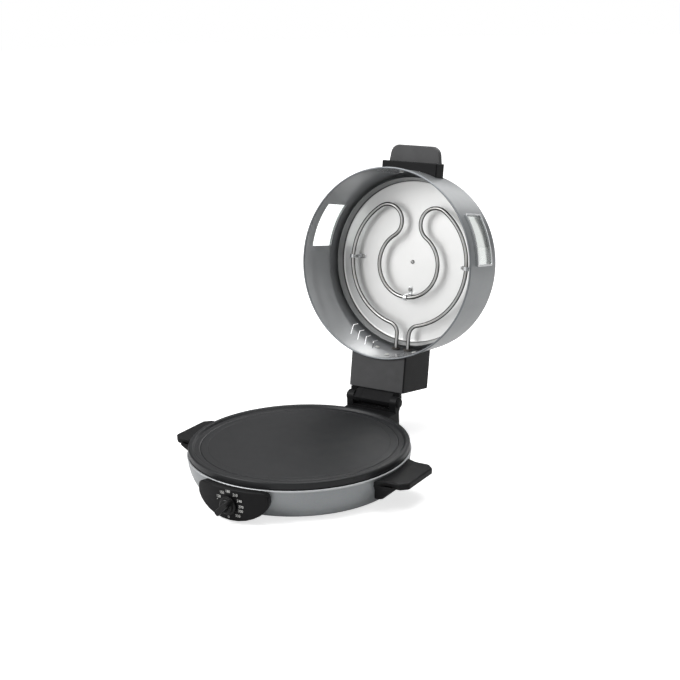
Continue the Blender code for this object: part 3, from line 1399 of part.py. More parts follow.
def make_lid(stand, mats):
    lid_axis = add_empty("lid_axis", (0, HINGE_Y, HINGE_Z), stand, -LID_OPEN_ANGLE)
    drum = (0, -HINGE_Y, RIM_OFFSET)
    make_lid_shell(lid_axis, mats["paint"], drum)
    make_windows(lid_axis, mats, drum)
    make_reflector(lid_axis, mats["reflector"], drum)
    make_upper_element(lid_axis, mats["tube"], drum)
    make_reflector_screws(lid_axis, mats, drum)
    make_leg_bushings(lid_axis, mats["ceramic"], drum)
    make_lid_handle(lid_axis, mats, drum)
    make_hinge_housing(lid_axis, mats, drum)


def main():
    clear_scene()
    mats = {
        "paint": material("silver_paint", (0.36, 0.38, 0.39), 0.32, 0.6),
        "nonstick": material("nonstick_coating", (0.035, 0.037, 0.040), 0.55),
        "plastic": material("black_plastic", (0.02, 0.02, 0.021), 0.5),
        "knob": material("black_knob", (0.012, 0.012, 0.013), 0.4),
        "reflector": material("bright_aluminium", (0.85, 0.85, 0.86), 0.28, 1.0),
        "tube": material("heater_steel", (0.34, 0.33, 0.33), 0.35, 1.0),
        "steel": material("bright_steel", (0.60, 0.60, 0.61), 0.3, 1.0),
        "clip": material("spring_steel", (0.45, 0.45, 0.46), 0.35, 1.0),
        "trim": material("polished_trim", (0.75, 0.75, 0.76), 0.2, 1.0),
        "galvanised": material("galvanised_sheet", (0.50, 0.51, 0.52), 0.45, 1.0),
        "zinc": material("zinc_casting", (0.48, 0.49, 0.50), 0.5, 1.0),
        "rubber": material("black_rubber", (0.018, 0.018, 0.018), 0.8),
        "ceramic": material("white_ceramic", (0.80, 0.78, 0.73), 0.6),
        "glass": material("clear_glass", (0.90, 0.94, 0.94), 0.05, alpha=0.3),
    }
    stand = add_empty("stand", (0, BASE_CENTRE_Y, 0))
    make_base(stand, mats)
    make_controls(stand, mats)
    make_lid(stand, mats)


main()
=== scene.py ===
"""Arabic bread maker with its drum lid open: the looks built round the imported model.

Laid out as an add-on: sizes and colours are property groups, and each piece or group of like pieces is made by
an operator of its own. Metres, +Z up. The lid's pieces are drawn in drum coordinates, where Z is the depth from
the rim and +Y points at the hinge, and are then carried to their place by one matrix.
"""

import json
import math

import bmesh
import bpy
from bmesh.types import BMEdge, BMVert
from bpy.props import FloatProperty, FloatVectorProperty, IntProperty, PointerProperty
from mathutils import Matrix, Vector

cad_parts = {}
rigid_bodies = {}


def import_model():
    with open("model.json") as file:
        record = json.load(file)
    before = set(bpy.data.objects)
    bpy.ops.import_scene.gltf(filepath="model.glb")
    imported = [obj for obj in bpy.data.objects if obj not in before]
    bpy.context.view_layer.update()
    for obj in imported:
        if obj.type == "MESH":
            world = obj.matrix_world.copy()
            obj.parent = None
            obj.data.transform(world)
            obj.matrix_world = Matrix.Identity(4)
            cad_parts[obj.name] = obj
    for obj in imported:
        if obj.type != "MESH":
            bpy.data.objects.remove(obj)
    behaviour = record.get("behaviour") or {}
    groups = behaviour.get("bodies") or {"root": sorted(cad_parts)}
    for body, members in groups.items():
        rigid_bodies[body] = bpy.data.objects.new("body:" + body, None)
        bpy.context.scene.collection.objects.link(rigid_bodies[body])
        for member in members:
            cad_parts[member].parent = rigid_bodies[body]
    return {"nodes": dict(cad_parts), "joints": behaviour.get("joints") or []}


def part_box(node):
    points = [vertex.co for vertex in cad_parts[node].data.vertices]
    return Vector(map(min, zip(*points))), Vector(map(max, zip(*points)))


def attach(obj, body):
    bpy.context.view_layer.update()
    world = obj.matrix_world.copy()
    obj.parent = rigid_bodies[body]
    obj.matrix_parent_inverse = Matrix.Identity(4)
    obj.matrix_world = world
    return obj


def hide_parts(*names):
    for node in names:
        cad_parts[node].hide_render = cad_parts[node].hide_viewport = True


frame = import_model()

bl_info = {
    "name": "Arabic bread maker",
    "version": (1, 0, 0),
    "blender": (4, 5, 0),
    "location": "View3D > Sidebar > Bread maker",
    "description": "Builds the visible pieces, finishes and studio of a bread maker",
    "category": "Object",
}

FULL = math.tau
X_AXIS, Y_AXIS, Z_AXIS = Vector((1, 0, 0)), Vector((0, 1, 0)), Vector((0, 0, 1))
PLATE_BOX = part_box("baking_plate")
CENTRE = Vector((0, (PLATE_BOX[0].y + PLATE_BOX[1].y) / 2, 0))
HINGE = Vector(next(joint["pos_m"] for joint in frame["joints"] if joint["name"] == "lid_hinge"))
KNOB = Vector(next(joint["pos_m"] for joint in frame["joints"] if joint["name"] == "thermostat_turn"))
HINGE_OUT = HINGE.y - CENTRE.y
LAMP_TARGET = Vector((0, 0, 0.2))
SEAT = 0.0003  # clearance under a seated piece
EDGE_STEP = 0.001  # how far a rolled edge stands proud of its wall
PANE_SEAT, PANE_TOP = 0.00045, 0.00345  # a pane's faces over the drum's wall
STRAP_REACH = 0.012  # from a strap's screw to the tube's middle
INK = 0.00008  # half the thickness of printed ink
NUMBER_ANGLES = (152, 124, 92, 55, 26, 1, -18, -44)  # where the dial's numbers stand, in degrees from the right
MERGE = 2e-6  # points closer than this are one


def linear(code):
    """An sRGB hex colour as the linear numbers that a shader takes."""
    parts = [int(code[i : i + 2], 16) / 255 for i in (1, 3, 5)]
    return tuple(p / 12.92 if p <= 0.04045 else ((p + 0.055) / 1.055) ** 2.4 for p in parts)


def length(name, description, default):
    return FloatProperty(name=name, description=description, default=default, min=0, unit="LENGTH", precision=5)


def turn(name, description, degrees):
    return FloatProperty(name=name, description=description, default=math.radians(degrees), unit="ROTATION")


def tint(name, description, code):
    return FloatVectorProperty(name=name, description=description, default=linear(code), size=3, subtype="COLOR")


class BaseSizes(bpy.types.PropertyGroup):
    lip_radius: length("Lip radius", "Outer radius of the bowl's rolled lip", 0.165)
    lip_height: length("Lip height", "Top of the rolled lip over the table", 0.0505)
    bead: length("Bead radius", "Radius of the rolled beads on bowl and lid", 0.0015)
    sheet: length("Bowl sheet", "Thickness of the bowl's sheet", 0.001)
    sweep: length("Bowl sweep", "Radius of the bowl's side in section", 0.067)
    fillet: length("Foot fillet", "Radius where the side turns under", 0.008)
    bottom: length("Bowl bottom", "Height of the bowl's flange", 0.005)
    flange: length("Flange radius", "Inner radius of the bowl's flange", 0.130)
    plate_radius: length("Plate radius", "Outer radius of the baking plate", 0.163)
    plate_top: length("Plate rim height", "Top of the plate's raised rim", 0.0615)
    cook_height: length("Baking height", "Height of the baking surface", 0.0582)
    rim_inner: length("Rim inner radius", "Inner radius of the raised rim", 0.1562)
    seat_outer: length("Seat radius", "Where the flat surface meets the rim's slope", 0.1538)
    groove: length("Groove radius", "Middle of the shallow groove", 0.1455)
    face_radius: length("Panel face radius", "Radius of the control panel's curved face", 0.177)
    foot_radius: length("Foot radius", "Radius of the rubber feet", 0.011)


class DialSizes(bpy.types.PropertyGroup):
    knob_radius: length("Knob radius", "Radius of the knob's skirt", 0.0135)
    knob_depth: length("Knob depth", "How far the knob's grip stands out", 0.019)
    grip_width: length("Grip width", "Width of the knob's grip bar", 0.0085)
    grip_length: length("Grip length", "Length of the knob's grip bar", 0.026)
    off_turn: turn("Off mark", "Turn of the grip bar at its off mark", 45)
    number_circle: length("Number circle", "Radius on which the numbers stand", 0.0198)
    number_height: length("Number height", "Height of the printed numbers", 0.0054)
    first_number: IntProperty(name="First number", description="Lowest printed temperature", default=120)
    number_step: IntProperty(name="Number step", description="Step between the numbers", default=30)


class LidSizes(bpy.types.PropertyGroup):
    open_angle: turn("Open angle", "How far the lid leans back", 100)
    rim_radius: length("Rim radius", "Outer radius of the drum's rolled rim", 0.1525)
    back_radius: length("Back radius", "Radius of the drum at its shoulder", 0.1462)
    depth: length("Depth", "From the rim to the drum's back", 0.1098)
    shoulder: length("Shoulder", "Radius of the drum's back edge", 0.010)
    crown: length("Crown", "How much the back bulges", 0.0015)
    sheet: length("Drum sheet", "Thickness of the drum's sheet", 0.0008)
    window_turn: turn("Window angle", "Angle of each window's middle above the side", 19.7)
    window_width: length("Window width", "Length of a window along the curve", 0.0765)
    window_near: length("Window near edge", "Depth of the window's edge nearest the rim", 0.0225)
    window_far: length("Window far edge", "Depth of the window's far edge", 0.0750)
    slot_bend: length("Slot depth", "Depth of the steam slots' bend", 0.077)
    slot_pitch: length("Slot pitch", "Distance between steam slots", 0.0155)
    slot_nearest: length("Nearest slot", "From the hinge line to the nearest slot", 0.053)
    reflector_depth: length("Reflector depth", "Depth of the reflector's flat", 0.096)
    reflector_flat: length("Reflector flat", "Radius of the reflector's flat", 0.131)
    element_depth: length("Element depth", "Depth of the heating tube's middle", 0.081)
    tube: length("Tube radius", "Radius of the heating tube", 0.0032)
    legs: length("Leg spread", "Half the distance between the tube's legs", 0.011)
    omega: length("Omega radius", "Radius of the tube's outer loop", 0.105)


class Colours(bpy.types.PropertyGroup):
    paint: tint("Paint", "Silver-grey paint outside", "#8b8e90")
    lining: tint("Lining", "Grey baked paint inside the drum", "#b2b4b6")
    coating: tint("Coating", "Dark non-stick coating", "#17181a")
    plastic: tint("Plastic", "Black mouldings", "#171718")
    ink: tint("Ink", "Printed numbers", "#e9e9e6")
    bright: tint("Bright sheet", "The reflector's aluminium", "#eaeae9")
    steel: tint("Steel", "Screws and clips", "#a2a2a1")
    tube: tint("Tube", "Heating tube", "#cbcbca")
    floor: tint("Floor", "Studio floor", "#f2f2f2")


def base_sizes():
    return bpy.context.scene.bread_base


def lid_sizes():
    return bpy.context.scene.bread_lid


def dial_sizes():
    return bpy.context.scene.bread_dial


def colours():
    return bpy.context.scene.bread_colours


# Meshes

def trace(bm, start, moves, steps=10):
    """Draws a profile in the XZ plane: a pair moves straight to a place, and three numbers turn about a centre
    by an angle in degrees, anticlockwise as seen from the front."""
    vert = bm.verts.new((start[0], 0, start[1]))
    for move in moves:
        if len(move) == 2:
            vert = bmesh.ops.extrude_vert_indiv(bm, verts=[vert])["verts"][0]
            vert.co = (move[0], 0, move[1])
        else:
            x, z, degrees = move
            made = bmesh.ops.spin(
                bm, geom=[vert], cent=(x, 0, z), axis=(0, -1, 0), angle=math.radians(degrees), steps=steps
            )
            vert = only(BMVert, made["geom_last"])[0]
    return vert


def only(kind, made):
    """The verts or the edges among what a tool made."""
    return [g for g in made if isinstance(g, kind)]


def outward(bm):
    """Turns every face of a closed form outward."""
    bmesh.ops.recalc_face_normals(bm, faces=bm.faces)
    if bm.calc_volume(signed=True) < 0:
        bmesh.ops.reverse_faces(bm, faces=bm.faces)
    return bm


def turned(start, moves, sides=192, closed=False, steps=10):
    """A solid of revolution about Z from a traced profile; a closed profile joins its end to its start."""
    bm = bmesh.new()
    last = trace(bm, start, moves, steps)
    bm.verts.ensure_lookup_table()
    if closed:
        bm.edges.new((last, bm.verts[0]))
    bmesh.ops.spin(
        bm, geom=bm.verts[:] + bm.edges[:], cent=(0, 0, 0), axis=Z_AXIS, angle=FULL, steps=sides, use_merge=True
    )
    bmesh.ops.remove_doubles(bm, verts=bm.verts, dist=1e-6)
    return outward(bm)


def plate(corners, low, high, radius=0.0, segments=6):
    """A flat outline in plan given thickness; its corners are rounded by one radius, or by one each."""
    bm = bmesh.new()
    face = bm.faces.new([bm.verts.new((x, y, low)) for x, y in corners])
    radii = [radius] * len(corners) if isinstance(radius, (int, float)) else radius
    for vert, size in zip(list(face.verts), radii):
        if size > 0:
            bmesh.ops.bevel(
                bm, geom=[vert], offset=size, offset_type="OFFSET", segments=segments, profile=0.5,
                affect="VERTICES", material=-1,
            )
    grown = bmesh.ops.extrude_face_region(bm, geom=bm.faces[:])["geom"]
    bmesh.ops.translate(bm, verts=only(BMVert, grown), vec=(0, 0, high - low))
    return outward(bm)


def block(low, high):
    """A box between two corners."""
    low, high = Vector(low), Vector(high)
    bm = bmesh.new()
    place = Matrix.Translation((low + high) / 2) @ Matrix.Diagonal((*(high - low), 1))
    bmesh.ops.create_cube(bm, size=1, matrix=place)
    return bm


def rod(radius, low, high, sides=32):
    """A plain bar on the Z axis."""
    bm = bmesh.new()
    place = Matrix.Translation((0, 0, (low + high) / 2))
    bmesh.ops.create_cone(
        bm, cap_ends=True, segments=sides, radius1=radius, radius2=radius, depth=high - low, matrix=place
    )
    return bm


def soften(bm, width, sharper=30, segments=2, shorter=math.inf, keep=lambda edge: True):
    """Rounds the edges that are sharper than an angle in degrees, shorter than a length, and kept by a test."""
    chosen = [
        e for e in bm.edges
        if len(e.link_faces) == 2 and e.calc_face_angle(0) > math.radians(sharper)
        and e.calc_length() < shorter and keep(e)
    ]
    bmesh.ops.bevel(
        bm, geom=chosen, offset=width, offset_type="OFFSET", segments=segments, profile=0.5, affect="EDGES",
        clamp_overlap=True, material=-1,
    )
    return bm


def moved(bm, matrix):
    bmesh.ops.transform(bm, matrix=matrix, verts=bm.verts)
    return bm


def linked(name, data):
    """A new object in the scene."""
    obj = bpy.data.objects.new(name, data)
    bpy.context.scene.collection.objects.link(obj)
    return obj


def as_mesh(name, bm):
    mesh = bpy.data.meshes.new(name)
    bm.to_mesh(mesh)
    bm.free()
    return mesh


def put_together(pieces):
    """One mesh that holds several closed forms."""
    whole = bmesh.new()
    for piece in pieces:
        mesh = as_mesh("part", piece)
        whole.from_mesh(mesh)
        bpy.data.meshes.remove(mesh)
    return whole


def sliced(bm, axis, places):
    """Cuts a mesh across an axis, so that it can bend there."""
    for place in places:
        bmesh.ops.bisect_plane(
            bm, geom=bm.verts[:] + bm.edges[:] + bm.faces[:], plane_co=axis * place, plane_no=axis, dist=1e-7
        )
    return bm


def combined(bm, tool, operation):
    """Cuts one solid from another, or joins the two, and gives the mesh that results."""
    solid, cutter = (linked("combined", as_mesh("combined", source)) for source in (bm, tool))
    modifier = solid.modifiers.new("combined", "BOOLEAN")
    modifier.object = cutter
    modifier.operation = operation
    made = bmesh.new()
    made.from_object(solid, bpy.context.evaluated_depsgraph_get())
    for obj in (solid, cutter):
        mesh = obj.data
        bpy.data.objects.remove(obj)
        bpy.data.meshes.remove(mesh)
    if not made.faces:
        raise RuntimeError(f"the {operation.lower()} left nothing")
    bmesh.ops.remove_doubles(made, verts=made.verts, dist=MERGE)
    return made


def copied(node):
    """A CAD node's triangles, merged and with its flat faces made whole again."""
    bm = bmesh.new()
    bm.from_mesh(frame["nodes"][node].data)
    bmesh.ops.remove_doubles(bm, verts=bm.verts, dist=MERGE)
    bmesh.ops.dissolve_limit(bm, angle_limit=math.radians(0.6), verts=bm.verts, edges=bm.edges)
    return outward(bm)


def softened(node, width=0.0006, sharper=25):
    """A CAD node's own form with its sharp edges rounded."""
    return soften(copied(node), width, sharper)


def make_piece(name, bm, body, finishes, replaces=(), smooth=32, weighted=True):
    """Turns a mesh into a finished piece that rides on a body and stands for its CAD nodes."""
    mesh = as_mesh(name, bm)
    for each in [finishes] if isinstance(finishes, str) else finishes:
        mesh.materials.append(finish(each))
    mesh.shade_smooth()
    mesh.set_sharp_from_angle(angle=math.radians(smooth))
    obj = linked(name, mesh)
    if weighted:
        obj.modifiers.new("flat faces stay flat", "WEIGHTED_NORMAL").keep_sharp = True
    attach(obj, body)
    if replaces:
        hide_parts(*replaces)


def give(name, *nodes):
    """A CAD node that stays gets a better finish."""
    for node in nodes:
        mesh = frame["nodes"][node].data
        mesh.materials.clear()
        mesh.materials.append(finish(name))


# Places

def base_place():
    return Matrix.Translation(CENTRE)


def drum_place():
    """From drum coordinates to the lid's place on the base when it stands open."""
    sizes = base_sizes()
    drop = sizes.cook_height + SEAT - HINGE.z
    lean = Matrix.Rotation(-lid_sizes().open_angle, 4, "X")
    return Matrix.Translation(HINGE) @ lean @ Matrix.Translation((0, -HINGE_OUT, drop))


def around(radius, angle):
    """From the Z axis to a place on a circle about it."""
    return Matrix.Translation((radius * math.cos(angle), radius * math.sin(angle), 0))


def along_x(y, z, side=1):
    return Matrix.Translation((0, y, z)) @ Matrix.Rotation(side * math.pi / 2, 4, "Y")


def facing_front():
    """Turns a form drawn in plan so that it stands up and faces the front."""
    return Matrix.Rotation(math.pi / 2, 4, "X")


def drum_wall(depth):
    """The drum's outer radius at a depth."""
    lid = lid_sizes()
    near = 2 * base_sizes().bead
    share = (depth - near) / (lid.depth - lid.shoulder - near)
    top = lid.rim_radius - EDGE_STEP
    return top + (lid.back_radius - top) * share


def taper():
    lid = lid_sizes()
    fall = lid.rim_radius - EDGE_STEP - lid.back_radius
    return math.atan(fall / (lid.depth - lid.shoulder - 2 * base_sizes().bead))


def on_drum(angle, depth, lift=0.0):
    """A place on the drum's wall: the angle is 0 at +X and a right angle at the handle."""
    radius = drum_wall(depth) + lift
    return Vector((radius * math.cos(angle), -radius * math.sin(angle), depth))


def out_of_drum(angle, depth):
    """Turns a Z axis form to stand on the drum's wall, its +X side towards the rim."""
    place = Matrix.Translation(on_drum(angle, depth))
    return place @ Matrix.Rotation(-angle, 4, "Z") @ Matrix.Rotation(math.pi / 2 - taper(), 4, "Y")


def wrap_on_drum(bm, centre):
    """Bends a flat form (along, depth, lift) round the drum's wall."""
    middle = drum_wall((lid_sizes().window_near + lid_sizes().window_far) / 2)
    for vert in bm.verts:
        along, depth, lift = vert.co
        vert.co = on_drum(centre + along / middle, depth, lift)
    return outward(bm)


# Finishes

def add(tree, kind, sockets=None, stops=(), **settings):
    """Adds a node and gives its outputs. A socket takes a value or another node's output, and a ramp's stop takes
    a place and a colour."""
    made = tree.nodes.new("ShaderNode" + kind)
    for name, value in settings.items():
        setattr(made, name, value)
    for name, value in (sockets or {}).items():
        if isinstance(value, bpy.types.NodeSocket):
            tree.links.new(value, made.inputs[name])
        else:
            made.inputs[name].default_value = value
    for i, (position, colour) in enumerate(stops):
        made.color_ramp.elements[i].position = position
        made.color_ramp.elements[i].color = colour
    return made.outputs


def shade(colour, factor=1.0):
    """A colour for a socket, from its name in the panel's list or its hex code, scaled by a factor."""
    base = linear(colour) if colour.startswith("#") else getattr(colours(), colour)
    return (*(min(1, c * factor) for c in base), 1)


def mottled(tree, place, colour, size, depth):
    """A colour that wanders a little about its mean over patches of a size in metres."""
    noise = add(tree, "TexNoise", {"Vector": place, "Scale": 1 / size, "Detail": 3.0})
    ramp = add(tree, "ValToRGB", {"Fac": noise["Fac"]},
               stops=((0.3, shade(colour, 1 - depth)), (0.7, shade(colour, 1 + depth))))
    return ramp["Color"]


def close(tree, colour, wear, rough, grain, relief, settings):
    """Ends a material in its shader: a pattern spreads the roughness over a range, and a grain raises the
    surface by a relief in metres."""
    spread = add(tree, "MapRange", {"Value": wear, "To Min": rough[0], "To Max": rough[1]})
    sockets = {"Base Color": colour, "Roughness": spread["Result"], **settings}
    if grain is not None:
        bump = add(tree, "Bump", {"Height": grain, "Strength": 1.0, "Distance": relief})
        sockets["Normal"] = bump["Normal"]
    shader = add(tree, "BsdfPrincipled", sockets)
    add(tree, "OutputMaterial", {"Surface": shader["BSDF"]})


def skin(tree, place, colour, rough, patch, depth, grain, relief, metallic=0.0, coat=0.0, specular=0.5,
         cells=False, uneven=0.04):
    """The common build: mottled colour in patches, roughness that wanders, and a relief of fine grains."""
    cloud = add(tree, "TexNoise", {"Vector": place, "Scale": 1 / (patch * 0.6), "Detail": 2.0})
    if cells:
        fine = add(tree, "TexVoronoi", {"Vector": place, "Scale": 1 / grain})["Distance"]
    else:
        fine = add(tree, "TexNoise", {"Vector": place, "Scale": 1 / grain, "Detail": 2.0})["Fac"]
    close(tree, mottled(tree, place, colour, patch, depth), cloud["Fac"], (rough - uneven, rough + uneven),
          fine, relief,
          {"Metallic": metallic, "Coat Weight": coat, "Coat Roughness": 0.12, "Specular IOR Level": specular})


# Finishes of the common build: colour, roughness, size of patch, depth of mottling, size of grain and relief in
# metres, and what else differs.
PLAIN_FINISHES = {
    # The drum's inside keeps a thinner, smoother coat of the same paint, which mirrors the element softly.
    "grey_lining_baked": ("lining", 0.16, 0.06, 0.03, 0.002, 5e-6, {"metallic": 0.35, "coat": 0.2, "uneven": 0.01}),
    # Where the sheet is rolled over a die the paint is thin and polished, so the edge draws a bright line.
    "rolled_edge_polished": ("#7c7f82", 0.42, 0.02, 0.05, 0.001, 1e-5, {"metallic": 0.8}),
    # The bowl's rolled lip is painted a pale silver as a painted highlight: a thin line clearly lighter than the
    # paint below it.
    "rolled_lip_burnished": ("#b9bbbd", 0.45, 0.02, 0.05, 0.001, 1e-5, {"metallic": 0.6}),
    # Glass-filled phenolic moulded in a spark-eroded tool: near black, with a fine even grain that dulls it.
    "black_phenolic_moulded": ("plastic", 0.42, 0.02, 0.10, 0.0008, 5e-5, {"specular": 0.12, "cells": True}),
    # The same black phenolic, painted a lighter grey as painted light where the lid's mouldings face the light.
    "grey_phenolic_moulded": ("#4b4b4c", 0.42, 0.02, 0.10, 0.0008, 5e-5, {"specular": 0.30, "cells": True}),
    # The knob's tool is polished, so it is a little glossier than the panel that it sits on.
    "black_knob_moulded": ("#0d0d0e", 0.30, 0.01, 0.08, 0.0006, 1e-5, {"specular": 0.25}),
    # Zinc-plated screws: small, bright and slightly cloudy.
    "zinc_plated_steel_turned": ("steel", 0.28, 0.004, 0.10, 0.0005, 1e-5, {"metallic": 1.0}),
    # Stamped strip with the rolling's grain, a little duller than the screws.
    "spring_steel_stamped": ("#a8a8a7", 0.34, 0.006, 0.10, 0.0008, 2e-5, {"metallic": 1.0}),
    # Stamped aluminium trim, dipped bright, which frames each pane with a pale glint.
    "bright_trim_stamped": ("#d5d7d8", 0.20, 0.01, 0.05, 0.001, 1e-5, {"metallic": 0.9}),
    # The wall's screws are plated white: a pale cloudy film rather than a mirror, so they show as light dots.
    "white_zinc_plated": ("#cfcfcc", 0.42, 0.004, 0.08, 0.0005, 1e-5, {"metallic": 0.4}),
    # The bushes where the tube comes through are a dark brown-grey ceramic.
    "steatite_ceramic_browned": ("#47433f", 0.65, 0.005, 0.12, 0.0007, 4e-5, {}),
    # Steatite, pressed and fired without a glaze: warm white and finely pitted.
    "steatite_ceramic_fired": ("#e3ddd0", 0.6, 0.006, 0.05, 0.0007, 4e-5, {}),
    # Pad-printed white ink: a thin film, slightly uneven at its edges and duller than the plastic.
    "white_ink_printed": ("ink", 0.55, 0.002, 0.06, 0.0003, 1e-5, {}),
    # The thermostat's die-cast body: dull grey with a cast skin.
    "zinc_die_cast": ("#9a9c9e", 0.5, 0.01, 0.08, 0.001, 5e-5, {"metallic": 0.9}),
    # Moulded silicone rubber: black, soft and matt.
    "black_rubber_moulded": ("#1b1b1b", 0.72, 0.01, 0.10, 0.0007, 4e-5, {"specular": 0.3}),
}


def silver_lacquer_sprayed(tree, place):
    # Silver-grey metallic lacquer baked on pressed steel: a soft sheen, tiny flakes and a faint orange peel.
    body = mottled(tree, place, "paint", 0.09, 0.03)
    # Real flakes are 0.03 mm across; they are drawn at 0.7 mm so that they show at all.
    flakes = add(tree, "TexVoronoi", {"Vector": place, "Scale": 1 / 0.0007})
    sparkle = add(tree, "Mix", {0: 0.10, 6: body, 7: flakes["Color"]}, data_type="RGBA",
                  blend_type="SOFT_LIGHT")
    cloud = add(tree, "TexNoise", {"Vector": place, "Scale": 1 / 0.02, "Detail": 2.0})
    peel = add(tree, "TexNoise", {"Vector": place, "Scale": 1 / 0.003, "Detail": 1.0})
    close(tree, sparkle[2], cloud["Fac"], (0.34, 0.42), peel["Fac"], 0.00003,
          {"Metallic": 0.45, "Coat Weight": 0.25, "Coat Roughness": 0.15})


def nonstick_coating_sprayed(tree, place):
    # Two-coat non-stick sprayed on cast aluminium: charcoal with a fine pale fleck and a dull satin sheen.
    specks = add(tree, "TexVoronoi", {"Vector": place, "Scale": 1 / 0.0018, "Randomness": 1.0})
    dots = add(tree, "MapRange", {"Value": specks["Distance"], "From Min": 0.10, "From Max": 0.16,
                                  "To Min": 0.35, "To Max": 0.0})
    body = mottled(tree, place, "coating", 0.05, 0.10)
    flecked = add(tree, "Mix", {0: dots["Result"], 6: body, 7: shade("#5b5e60")}, data_type="RGBA")
    grain = add(tree, "TexNoise", {"Vector": place, "Scale": 1 / 0.0009, "Detail": 3.0})
    cloud = add(tree, "TexNoise", {"Vector": place, "Scale": 1 / 0.03, "Detail": 2.0})
    close(tree, flecked[2], cloud["Fac"], (0.36, 0.46), grain["Fac"], 0.00005,
          {"Specular IOR Level": 0.32})


def bright_aluminium_rolled(tree, place):
    # Bright aluminium rolled and pressed: nearly white, with rolling marks 1.2 mm apart and some 60 mm long.
    stretched = add(tree, "Mapping", {"Vector": place, "Scale": (1 / 0.0012, 1 / 0.0012, 1 / 0.06)})
    streaks = add(tree, "TexNoise", {"Vector": stretched["Vector"], "Scale": 1.0, "Detail": 2.0})
    close(tree, mottled(tree, place, "bright", 0.08, 0.02), streaks["Fac"], (0.32, 0.40),
          streaks["Fac"], 0.00001, {"Metallic": 0.62})


def aluminium_flange_drawn(tree, place):
    # Drawing the pan's side stretches the sheet, which leaves it duller than the flat; its grey is painted darker
    # than the flat's as painted shade, with painted shade deepening along its foot.
    centred = add(tree, "VectorMath", {0: place, 1: drum_place().translation}, operation="SUBTRACT")
    axis = (drum_place().to_3x3() @ Z_AXIS).normalized()
    height = add(tree, "VectorMath", {0: centred["Vector"], 1: axis}, operation="DOT_PRODUCT")
    foot = lid_sizes().reflector_depth
    # Painted shade that darkens the side towards its foot.
    foot_shade = add(tree, "MapRange", {"Value": height["Value"], "From Min": foot - 0.0045,
                                   "From Max": foot - 0.002})
    # A darker grey than the flat's, as painted shade, mixed towards near black at the foot.
    body = mottled(tree, place, "#9fa0a0", 0.02, 0.05)
    shaded_flange = add(tree, "Mix", {0: foot_shade["Result"], 6: body, 7: shade("#4a4a4a")}, data_type="RGBA")
    marks = add(tree, "TexNoise", {"Vector": place, "Scale": 1 / 0.001, "Detail": 2.0})
    close(tree, shaded_flange[2], marks["Fac"], (0.34, 0.42), marks["Fac"], 0.00002,
          {"Metallic": 0.6})


def heater_steel_drawn(tree, place):
    # Drawn stainless tube that has been hot: a grey oxide skin with a faint straw tint and a sharp highlight.
    heat = add(tree, "TexNoise", {"Vector": place, "Scale": 1 / 0.03, "Detail": 2.0})
    skinned = add(tree, "ValToRGB", {"Fac": heat["Fac"]},
                  stops=((0.35, shade("tube")), (0.75, shade("#b4b2af"))))
    # The tube's crown is painted bright and its flanks, seen edge on, are painted dark: a painted highlight with
    # painted dark reflections along its sides.
    edge = add(tree, "LayerWeight", {"Blend": 0.5})
    painted_flank_shade = add(tree, "MapRange", {"Value": edge["Facing"], "From Min": 0.03, "From Max": 0.29})
    painted_crown_and_flanks = add(tree, "Mix", {0: painted_flank_shade["Result"], 6: skinned["Color"], 7: shade("#2b2a29")},
                  data_type="RGBA")
    scuff = add(tree, "TexNoise", {"Vector": place, "Scale": 1 / 0.0015, "Detail": 2.0})
    close(tree, painted_crown_and_flanks[2], scuff["Fac"], (0.26, 0.34), scuff["Fac"], 0.00001,
          {"Metallic": 1.0})


def clear_glass_sagged(tree, place):
    # Toughened soda-lime glass, cut and sagged to the drum's curve: clear with a faint green edge.
    waves = add(tree, "TexNoise", {"Vector": place, "Scale": 1 / 0.02, "Detail": 1.0})
    close(tree, mottled(tree, place, "#f8fcfa", 0.05, 0.01), waves["Fac"], (0.01, 0.03),
          waves["Fac"], 0.00003, {"IOR": 1.5, "Transmission Weight": 1.0})


def galvanised_sheet_dipped(tree, place):
    # Hot-dip galvanised sheet: pale crystals some 8 mm across, each with its own grey.
    spangle = add(tree, "TexVoronoi", {"Vector": place, "Scale": 1 / 0.008})
    grey = add(tree, "RGBToBW", {"Color": spangle["Color"]})
    ramp = add(tree, "ValToRGB", {"Fac": grey["Val"]}, stops=((0, shade("#9da0a1")), (1, shade("#bfc2c3"))))
    close(tree, ramp["Color"], grey["Val"], (0.38, 0.52), None, 0, {"Metallic": 0.9})


def seen_rays(tree):
    """The kinds of ray, and a value that is 1 for what the camera sees, also through glass."""
    rays = add(tree, "LightPath")
    seen = add(tree, "Math", {0: rays["Is Camera Ray"], 1: rays["Is Transmission Ray"]}, operation="MAXIMUM")
    return rays, seen[0]


def studio_floor_painted(tree, place):
    # Matt white paint; camera and mirror rays see it lifted to white, less what the object's shadow takes.
    rays, seen = seen_rays(tree)
    mirrored = add(tree, "Math", {0: rays["Is Glossy Ray"], 1: 0.15}, operation="MULTIPLY")
    seen = add(tree, "Math", {0: seen, 1: mirrored[0]}, operation="MAXIMUM")[0]
    # Away from the object the lamps fade, so the lift grows there until the floor meets the white air.
    away = add(tree, "VectorMath", {0: place}, operation="LENGTH")
    share = add(tree, "MapRange", {"Value": away["Value"], "From Min": 0.7, "From Max": 2.2,
                                   "To Min": 0.71, "To Max": 1.0})
    lift = add(tree, "Math", {0: seen, 1: share["Result"]}, operation="MULTIPLY")
    paint = add(tree, "BsdfDiffuse", {"Color": mottled(tree, place, "floor", 0.8, 0.004)})
    glow = add(tree, "Emission", {"Color": (1, 1, 1, 1), "Strength": lift[0]})
    both = add(tree, "AddShader", {0: paint[0], 1: glow[0]})
    add(tree, "OutputMaterial", {"Surface": both[0]})


OWN_FINISHES = {build.__name__: build for build in (
    silver_lacquer_sprayed, nonstick_coating_sprayed, bright_aluminium_rolled, aluminium_flange_drawn,
    heater_steel_drawn, clear_glass_sagged, galvanised_sheet_dipped, studio_floor_painted,
)}


